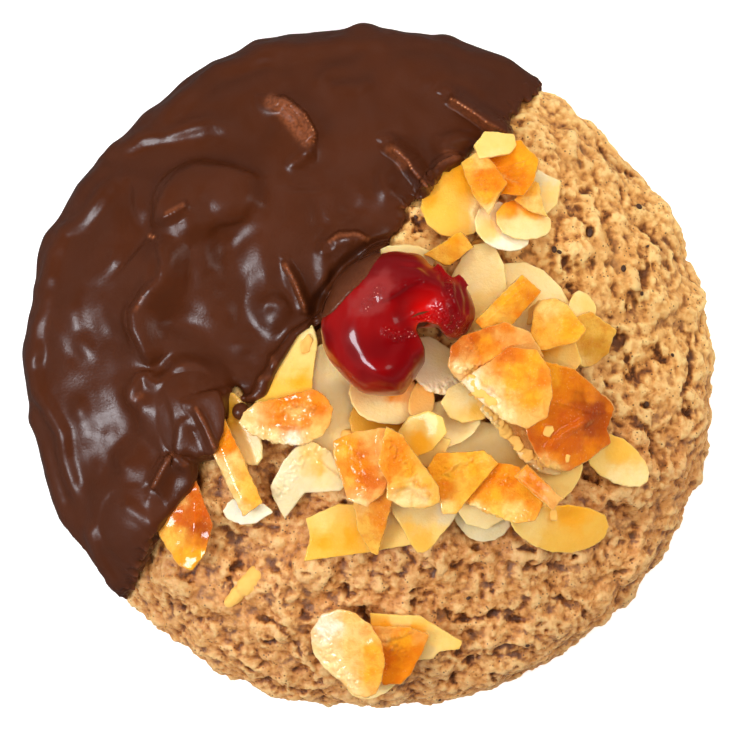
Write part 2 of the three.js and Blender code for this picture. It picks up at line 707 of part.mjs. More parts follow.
// The whole cherry grown by a margin.
function wholeCherry(margin, lift) {
  const geometry = welded(new THREE.IcosahedronGeometry(1, CHERRY.detail));
  const position = geometry.attributes.position;
  const point = new THREE.Vector3();
  for (let i = 0; i < position.count; i += 1) {
    point.fromBufferAttribute(position, i).normalize();
    const flat = Math.hypot(point.x, point.y);
    const theta = Math.atan2(point.y, point.x);
    const crease = 0.25 * perlin.noise(3 * point.x, 3 * point.y, 3 * point.z);
    const reach = (cherryRadius(theta) + crease + margin) * Math.pow(flat, point.z > 0 ? 0.85 : 1.3);
    const tall = (point.z > 0 ? CHERRY.rise : CHERRY.drop) + crease + margin;
    position.setXYZ(
      i,
      CHERRY.at[0] + reach * Math.cos(theta),
      CHERRY.at[1] + reach * Math.sin(theta),
      lift + tall * Math.sign(point.z) * Math.pow(Math.abs(point.z), 0.9),
    );
  }
  return toSolid(geometry);
}

// The cherry with the torn opening where its stone came out.
function cherrySolid(lift) {
  const notch = CHERRY_NOTCH.map(([x, y]) => new THREE.Vector2(x, y));
  if (THREE.ShapeUtils.area(notch) < 0) notch.reverse();
  const cutter = plate(notch, { a: 0, b: 0, c: lift - 2 * CHERRY.drop }, 4 * CHERRY.rise);
  return wholeCherry(0, lift).subtract(toSolid(cutter));
}

function cherryLift(field) {
  let lift = -Infinity;
  overGrid(toGeometry(wholeCherry(0, 0)), (cell, x, y, z) => {
    if (z < 0) lift = Math.max(lift, field[cell] - z);
  });
  return lift + TOUCH_GAP;
}

// --------------------------------------------------------------- chocolate

// A sliver on its edge: a long prism whose crest stands over the coat.
function ridgeSolid(ridge, field) {
  const from = new THREE.Vector2(...ridge.from);
  const to = new THREE.Vector2(...ridge.to);
  const side = to.clone().sub(from).normalize().rotateAround(new THREE.Vector2(), Math.PI / 2);
  const foot = side.clone().multiplyScalar(ridge.width / 2);
  const points = [from.clone().add(foot), from.clone().sub(foot), to.clone().sub(foot), to.clone().add(foot)];
  if (THREE.ShapeUtils.area(points) < 0) points.reverse();
  const geometry = plate(points, { a: 0, b: 0, c: 0 }, 1);
  const position = geometry.attributes.position;
  for (let i = 0; i < position.count; i += 1) {
    const at = new THREE.Vector2(position.getX(i), position.getY(i));
    const crest = position.getZ(i) > 0.5;
    const starts = at.distanceTo(from) < at.distanceTo(to);
    const end = starts ? from : to;
    const shift = at.sub(end).multiplyScalar(crest ? 0.2 : 1);
    const rise = crest ? ridge.rise * (starts ? RIDGE_START : 1) : -RIDGE_ROOT;
    position.setXYZ(i, end.x + shift.x, end.y + shift.y, heightAt(field, end) + rise);
  }
  return toSolid(geometry);
}

function heightAt(field, point) {
  const column = Math.min(Math.max(Math.round((point.x - FIELD.x[0]) / FIELD.step), 0), COLUMNS - 1);
  const row = Math.min(Math.max(Math.round((point.y - FIELD.y[0]) / FIELD.step), 0), ROWS - 1);
  return field[row * COLUMNS + column];
}

function dipCutter() {
  const outline = dipOutline();
  if (THREE.ShapeUtils.area(outline) < 0) outline.reverse();
  return toSolid(plate(outline, { a: 0, b: 0, c: COAT_FLOOR }, 60));
}

function coatSolid(laid, cherryHeight) {
  const surface = dome(coatRelief);
  const field = new Float64Array(COLUMNS * ROWS).fill(-100);
  raiseField(field, surface);
  let coat = toSolid(surface);
  for (const ridge of COAT_RIDGES) coat = coat.add(ridgeSolid(ridge, field));
  for (const entry of laid.filter((flake) => flake.dipped)) {
    coat = coat.add(toSolid(entry.solid(GAP + COAT_SKIN)));
  }
  coat = coat.add(wholeCherry(GAP + COAT_SKIN, cherryHeight)).add(cherryApron(cherryHeight));
  coat = coat.intersect(dipCutter());
  coat = coat.subtract(toSolid(dome(doughRelief(GAP))));
  for (const entry of laid) coat = coat.subtract(toSolid(entry.solid(GAP)));
  coat = coat.subtract(wholeCherry(GAP, cherryHeight));
  return largestPiece(coat);
}

// ----------------------------------------------------------------- assembly

function almondLook(name) {
  if (TOASTED.includes(name)) return LOOKS.toasted;
  return GOLDEN.includes(name) ? LOOKS.golden : LOOKS.pale;
}

function addPiece(group, name, geometry, look) {
  const mesh = new THREE.Mesh(geometry, new THREE.MeshStandardMaterial({ ...look, metalness: 0 }));
  mesh.name = name;
  group.add(mesh);
}

const lebkuchen = new THREE.Group();
const dough = dome(doughRelief(0));
const heights = new Float64Array(COLUMNS * ROWS).fill(-100);
raiseField(heights, dough);
const underCherry = FLAKES_UNDER_CHERRY.map((flake) => layFlake(flake, heights));
const cherryHeight = cherryLift(heights);
const roundCherry = FLAKES_ROUND_CHERRY.map((flake) => layFlake(flake, heights));
const coat = coatSolid([...underCherry, ...roundCherry], cherryHeight);

addPiece(lebkuchen, 'dough', dough, LOOKS.dough);
addPiece(lebkuchen, 'chocolate_coat', toGeometry(coat), LOOKS.chocolate);
addPiece(lebkuchen, 'cherry', toGeometry(cherrySolid(cherryHeight)), LOOKS.cherry);
underCherry.forEach((entry) => addPiece(lebkuchen, entry.name, entry.solid(0), almondLook(entry.name)));
roundCherry.forEach((entry) => {
  addPiece(lebkuchen, entry.name, clearOfCherry(entry, cherryHeight), almondLook(entry.name));
});

export default lebkuchen;
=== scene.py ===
import math
import random

import bpy
import numpy as np
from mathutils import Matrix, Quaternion, Vector
from mathutils.bvhtree import BVHTree


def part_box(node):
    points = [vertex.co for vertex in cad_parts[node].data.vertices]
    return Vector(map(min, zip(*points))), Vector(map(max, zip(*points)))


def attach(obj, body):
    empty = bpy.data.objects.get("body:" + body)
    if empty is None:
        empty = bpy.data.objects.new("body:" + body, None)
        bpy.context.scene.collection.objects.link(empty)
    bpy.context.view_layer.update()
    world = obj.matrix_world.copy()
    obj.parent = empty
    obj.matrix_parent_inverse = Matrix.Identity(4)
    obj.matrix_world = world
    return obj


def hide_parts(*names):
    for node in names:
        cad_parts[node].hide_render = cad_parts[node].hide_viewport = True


# The looks of a round lebkuchen, half dipped in dark chocolate, with flaked almonds and a
# torn glace cherry. Lengths are written in millimetres, and MM turns them to metres.
# +Y is the top of the picture and the camera looks straight down. Headings are in degrees,
# anticlockwise from +X.

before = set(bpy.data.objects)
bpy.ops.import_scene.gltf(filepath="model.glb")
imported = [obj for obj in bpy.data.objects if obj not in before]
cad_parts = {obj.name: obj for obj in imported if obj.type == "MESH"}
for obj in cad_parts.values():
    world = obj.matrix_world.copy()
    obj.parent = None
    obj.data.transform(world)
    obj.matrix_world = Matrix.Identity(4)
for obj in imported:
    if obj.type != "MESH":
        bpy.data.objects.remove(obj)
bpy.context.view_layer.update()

MM = 0.001

# ---------------------------------------------------------------- sizes, in mm

# The grain of each kind of piece's mesh.
CRUMB_VOXEL = 0.58
COAT_VOXEL = 0.31
CHERRY_VOXEL = 0.2
SLICE_VOXEL = 0.16
CHIP_VOXEL = 0.13

SLICE_GROWTH = 0.34        # how far a slice's walls reach out over the clearance round it
COAT_FROM, COAT_WITHIN = 1.2, 4.2    # how deep in the dough a look for its coat starts, and its reach
COAT_THICKEST = 4.0        # the most that the coat's outer side lies over the dough
DOUGH_WITHIN = 2.2         # the most that the coat's hidden side lies off the dough
COAT_BACKING = 0.6         # how far that side is sunk into the dough
CHERRY_CLEARANCE = 1.15    # the room round the cherry for its own film of chocolate
ABOVE = 60.0               # a height over everything, from which places are looked up
DROP_RADIUS, DROP_LIFT = 1.15, 0.5

CAMERA_OVER, CAMERA_HEIGHT, CAMERA_LENS = (0.33, 0.07), 1640.0, 604.0

# Folds and edges of what lies under the chocolate: the line of each crest in plan, its
# rise, and how far it falls away on the left and on the right of the line's direction.
COAT_CRESTS = [
    # the edge of the broad almond at the upper left, then the wavy edge below it
    ([(-13, 24.2), (-15.4, 24.9), (-19, 25.9), (-22.8, 26.2), (-24.6, 25.2), (-26, 23.4), (-26.9, 21.2),
        (-27.3, 19.6), (-28.7, 17.6)], 1.2, 10, 1),
    ([(-28.9, 18), (-27.2, 16.6), (-26.8, 14), (-27.2, 12), (-29.2, 10), (-30.8, 7.6), (-30.6, 5.4),
        (-29.3, 2.6), (-28.3, 0.6), (-27.6, -0.6)], 1.25, 10, 0.9),
    ([(-24.8, 19.2), (-22, 19), (-19, 19.8), (-15.4, 20.6)], 0.5, 3, 1.2),
    ([(-26.8, 20), (-25.2, 20.7), (-23.4, 21.8)], 0.5, 0.8, 1.4),
    ([(-21.9, 19), (-21.6, 16.5), (-20.8, 12.4)], 0.3, 2.2, 2.6),
    # the drop-shaped lump, the coated lobe and the coated wedge along the dip line
    ([(-27.6, -0.4), (-29.9, -0.6), (-31, -2.4), (-31.2, -3.8), (-30.2, -5)], 0.8, 2.6, 0.7),
    ([(-22.6, -5.8), (-24.4, -7), (-25, -9.4), (-24.6, -11.4), (-23.6, -13.4)], 0.6, 2.2, 0.8),
    ([(-22.6, -4.5), (-21.2, -7.1), (-19.8, -10.6)], 0.9, 0.9, 1.2),
    ([(-25.6, -10.4), (-27, -12.9), (-28.4, -15.6)], 0.8, 2.4, 0.7),
    ([(-32.4, -17.2), (-30, -18.6), (-27.6, -20.3)], 0.5, 1.4, 1.4),
    # waves between the slivers, at the top and by the cherry
    ([(-7.2, 29.4), (-8.4, 28), (-10.9, 26.3)], 0.55, 0.9, 0.9),
    ([(5.6, 27.2), (8.2, 26.6), (9.6, 27.8), (11.6, 28.2)], 0.5, 1, 1.6),
    ([(9, 29.4), (11, 30.2), (13.4, 30)], 0.5, 1.6, 1.6),
    ([(-14.2, 8.3), (-12.4, 9.3), (-10.8, 8.2)], 0.6, 0.9, 1.6),
    ([(-6, 17.6), (-6.2, 14), (-5.6, 11.4), (-6.2, 9)], 0.4, 1.4, 1.4),
    ([(1.5, 26), (1.6, 24), (2.6, 22)], 0.5, 1.8, 1.2),
    ([(-13, 2.1), (-12.4, 1), (-11.9, 0.4)], 0.4, 0.8, 0.8),
    ([(-14.4, -1.2), (-13.4, -0.9), (-12.3, -1.2)], 0.4, 0.8, 0.8),
    # the shoulder where the top turns down to the rim, from the top to the lower left
    ([(21, 38.4), (17, 40), (13, 41.3), (9.6, 42.7), (6, 43.1), (2.4, 42.6)], 0.4, 1.5, 2),
    ([(4, 42.4), (0, 42.9), (-4, 42.6), (-8, 41.8), (-12, 41), (-16, 40.2)], 0.5, 1.3, 2.2),
    ([(-9, 43.2), (-13, 41.8), (-17, 40), (-20, 39.4), (-22.2, 37.4), (-24.4, 35.6), (-26.4, 33.4),
        (-29.2, 30.6)], 0.6, 1.8, 1.4),
    ([(-18, 32), (-20.4, 32.4), (-24, 31.4), (-27, 30.5), (-29.6, 30.3), (-31.4, 29.2), (-33.6, 28.8),
        (-34.9, 27.6), (-34.9, 26.2), (-37, 24), (-38, 22.2), (-40.2, 20)], 0.6, 1.3, 1.8),
    ([(-33.9, 26.2), (-34.5, 23.6), (-36, 21.4), (-37.8, 19.2), (-40, 18), (-41.3, 15.2), (-41.7, 12.6),
        (-43, 9.6)], 0.6, 1.3, 1.7),
    ([(-42, 11), (-42.4, 8.6), (-43.6, 5.6), (-43.4, 2), (-43.8, 0)], 0.5, 1.2, 1.2),
    ([(-42.9, 4.4), (-44, 1.2), (-43.3, -2.6), (-41.6, -5.4), (-40, -8.2), (-39.7, -11.4), (-38.6, -15),
        (-37.2, -18)], 0.7, 1.4, 1.6),
    ([(-44.6, -4), (-43.2, -8.6), (-41.6, -13), (-40.2, -17.6), (-38.7, -21.6)], 0.4, 1.1, 1.3),
    ([(-36.3, -19.4), (-36.2, -21.6), (-35.2, -24.6), (-33.4, -27.4), (-31.8, -29.4)], 0.5, 1, 1.4),
    ([(-7.2, 37.2), (-5.6, 39), (-3.8, 39.6)], 0.35, 0.9, 1.3),
    ([(-5.4, 36.6), (-3, 37), (-1.4, 36.5), (0.4, 38)], 0.35, 1.2, 1),
]

# Almond slivers that stand on edge under the chocolate: line, rise, left and right falls.
COAT_SLIVERS = [
    ([(-13.3, 35.7), (-10.9, 35.5), (-8.5, 33.5), (-7.1, 30.9), (-7.2, 29)], 1.9, 0.35, 2.4),
    ([(9.9, 35.6), (11.4, 34.9), (13.4, 33.6), (15.2, 32.3), (17.2, 31.2), (18.9, 30.2)], 2.6, 2.4, 1.2),
    ([(2.1, 29.3), (3.3, 28.7), (4.9, 27.3), (5.5, 26.1), (6.7, 24.7), (8.3, 22.7)], 2.6, 2.2, 1.4),
    ([(-10.9, 34.8), (-9.2, 33), (-8, 30.6)], -0.6, 0.9, 0.9),
    ([(-11.4, 14.2), (-9.9, 11.6), (-8.2, 7.4)], 1.1, 1.4, 0.45),
    ([(-5.6, 16.4), (-4.2, 17.8), (-1.7, 17.9), (0.2, 16.8)], 0.8, 0.5, 2.4),
    ([(-22.8, -4.3), (-21.2, -7.1), (-19.7, -10.8)], 0.4, 0.5, 1.2),
    ([(-25.4, -10.2), (-27, -12.9), (-28.5, -15.8)], 0.4, 1.2, 0.5),
    ([(-28.9, 18), (-27.2, 16.6), (-26.8, 14), (-27.2, 12), (-29.2, 10), (-30.8, 7.6), (-30.6, 5.4),
        (-29.3, 2.6), (-28.3, 0.6)], 0.25, 2.4, 0.4),
    ([(-26.9, 20), (-25.2, 20.7), (-23.6, 21.7)], 0.35, 0.4, 0.6),
]

# Patches of chocolate that lean to the left and catch the light: middle, size, heading, slope.
COAT_LEANS = [
    ((-22.7, 7.4), (13, 8.5), 0, 0.45), ((-13.4, 11.6), (3.4, 8), 25, 0.45), ((-14, 7), (9, 8), 0, 0.4),
    ((-28.3, 4.3), (3.6, 7), 10, 0.5), ((-39.4, 7), (4.4, 5), 0, 0.45), ((-33.6, 14.8), (3, 3), 0, 0.55),
    ((-37.6, 2.5), (5, 5), 0, 0.4), ((-22.7, 11.7), (3, 6), -20, 0.45), ((-19.7, -0.6), (4, 6.5), 20, 0.45),
    ((-15.4, 1.3), (3.6, 4.6), 20, 0.45), ((-23.4, 17.6), (2.4, 7), 5, 0.4),
    ((-15.6, 15.4), (7, 12), -20, 0.4), ((-10.4, 26.8), (3.4, 2.4), 10, 0.6),
    ((-5.8, 20.6), (4.4, 9), -10, 0.5), ((2.2, 25.8), (2.2, 6), 20, 0.4),
    ((-22.6, -9.2), (5.5, 4.6), 0, 0.55), ((-29.8, -18.8), (7, 2.6), -45, 0.5),
    ((-32.7, -12.4), (4.4, 4.4), 0, 0.3), ((-26, 0.4), (5, 4), 0, 0.35), ((-29, -1.2), (3, 3), 0, 0.45),
    ((-21, -4), (4, 3.4), 0, 0.35), ((-19, 30.6), (5, 3.4), 20, 0.3), ((-12.6, 40), (6, 3), 15, 0.35),
    ((3.4, 40.4), (5, 3), 0, 0.3), ((-30.5, 24.5), (5, 3.4), 40, 0.3), ((-6, 32), (3, 4), 0, 0.3),
    ((8, 31.6), (4, 3), -30, 0.3),
]

# The chocolate's ragged edge on the dough.
DIP_EDGES = [
    [(-33.4, -31.4), (-30.4, -26), (-27.8, -21.6)], [(3.9, 19.1), (4.7, 21.7), (8.1, 23.6), (9.2, 25.3)],
    [(17.8, 32.8), (20.3, 35.3), (25, 40)],
]

# Coated almonds whose edges the chocolate rounds off: middle, length, width, heading.
COAT_ROUNDED = [
    ((-22.4, -7.2), (13, 14), 0), ((-27.2, -15.4), (10, 13), -20), ((-13.2, 7.6), (8, 8), 0),
    ((-14.6, 22.2), (9, 9), 0),
]

# Rounded hills that the chocolate makes over them: spine, half width of the top, height.
COAT_HILLS = [
    ([(-22.4, -4.6), (-21.6, -7.2), (-20.6, -10.2)], 0.8, 22.2),
    ([(-26, -13), (-27, -16), (-27.6, -18)], 1.4, 18.6),
]

# Soft bumps and hollows in the chocolate: centre, length, width, heading, rise.
COAT_BUMPS = [
    ((-20.5, 22.9), (9, 5), 30, 0.5), ((-18.6, 15.5), (8, 6), 70, -0.7), ((-13.6, 11), (5, 3.4), 60, 0.4),
    ((-33.4, 14.2), (3.4, 2.4), 60, 0.55), ((-31.6, 24.8), (4, 3), 0, 0.4),
    ((-37.6, -5), (4, 3), 120, 0.55), ((-37, 3), (6, 4), 110, 0.4), ((-35.2, -12.8), (2.4, 1.8), 0, 0.4),
    ((6.5, 37.4), (4, 5), 100, 0.6), ((-2.2, 21), (6, 4), 75, -0.7), ((-32, -12), (6, 3), 130, 0.35),
    ((-16.4, 3.2), (4, 3.4), 20, 0.5), ((-19.6, 31.8), (3, 2.4), 0, 0.35), ((-34, -8.4), (5, 3), 60, 0.3),
    ((-25.6, 3.4), (7, 5), 30, 0.3), ((14.6, 36), (4, 3), 30, 0.4), ((-4, 25), (9, 7), 40, 0.3),
    ((-22.8, -9.2), (6, 6), 20, 0.4), ((-44, -6.6), (5, 3.4), 80, 0.5), ((-38.6, 27.4), (6, 3), 50, 0.5),
    ((-44.6, 3), (5, 3), 95, 0.4), ((-32.6, 32.8), (6, 3), 42, 0.5), ((-0.8, 44.4), (6, 3), 0, 0.5),
    ((-14.8, 42), (5, 3), 20, 0.5), ((-41.8, 17.6), (5, 3), 65, 0.4), ((10, 43), (5, 3), -10, 0.3),
    ((-43, 10.6), (4, 3), 80, 0.4),
]

# Where the chocolate is thin over an almond's edge and shows warm brown; the bands also paint the light on
# the crests' lit faces, and the strongest lines, above 0.72, are a painted highlight along the crest tops.
COAT_THIN = [
    ([(-12.9, 35), (-11.2, 33.8), (-9.8, 32), (-8.2, 30)], 1.5, 0.7),
    ([(-11.4, 35), (-9.2, 33.2), (-7.6, 30.4)], 1, 0.72),
    ([(-8.6, 33.4), (-7.2, 30.9), (-7.3, 29.4)], 0.35, 0.95),
    ([(10.6, 34.7), (12.8, 33.4), (14.4, 32.2), (16, 31.2)], 0.9, 0.55),
    ([(10.4, 35.4), (11.4, 34.8), (13.4, 33.5), (15.2, 32.2)], 0.34, 1),
    ([(15.6, 32), (17.2, 31.1), (18.6, 30.3)], 0.3, 0.8),
    ([(2.6, 28.8), (3.7, 27.7), (4.4, 26.4)], 1.1, 0.6),
    ([(2.6, 29), (3.3, 28.6), (4.9, 27.2), (5.4, 26.1)], 0.34, 1),
    ([(5.6, 25.9), (6.6, 24.7), (8.1, 22.9)], 0.34, 0.75),
    ([(-11.2, 13.8), (-9.8, 11.4), (-8.3, 7.8)], 0.6, 0.6),
    ([(-11.1, 13.9), (-9.7, 11.5), (-8.6, 8.8)], 0.25, 0.9),
    ([(-5.3, 16.6), (-4.1, 17.6), (-1.7, 17.7), (0, 16.8)], 0.5, 0.6),
    ([(-22.6, -4.7), (-21.2, -7.2), (-20, -10.4)], 0.4, 0.55),
    ([(-25.5, -10.6), (-27, -12.9), (-28.2, -15.2)], 0.4, 0.45),
    ([(-28.8, 17.6), (-27.8, 17.2)], 0.45, 0.95), ([(-26.5, 20.3), (-24.2, 21.5)], 0.5, 0.45),
    ([(-29.4, 9.6), (-30.4, 7.8)], 0.4, 0.4), ([(-30.8, -3.6), (-29.6, -3.2)], 0.7, 0.25),
    ([(9.6, 28.4), (11.6, 28.2)], 0.6, 0.3),
]

# ---------------------------------------------------------------- colours


def paint(red, green, blue):
    """A colour seen on a screen, 0 to 255, as the linear colour that a shader takes."""
    def linear(value):
        share = value / 255
        return share / 12.92 if share <= 0.04045 else ((share + 0.055) / 1.055) ** 2.4
    return (linear(red), linear(green), linear(blue), 1.0)


TONES = {name: np.array(paint(*seen)) for name, seen in {
    "white": (250, 240, 214), "cream": (249, 221, 158), "butter": (246, 206, 120), "yellow": (243, 186, 74),
    "golden": (246, 168, 30), "orange": (232, 132, 8), "toasted": (206, 96, 2), "brown": (158, 64, 2),
    "peach": (240, 178, 94), "beige": (234, 202, 136), "clear": (230, 212, 168), "ochre": (214, 152, 40),
    "pink": (252, 224, 186), "crust": (226, 176, 112),
}.items()}

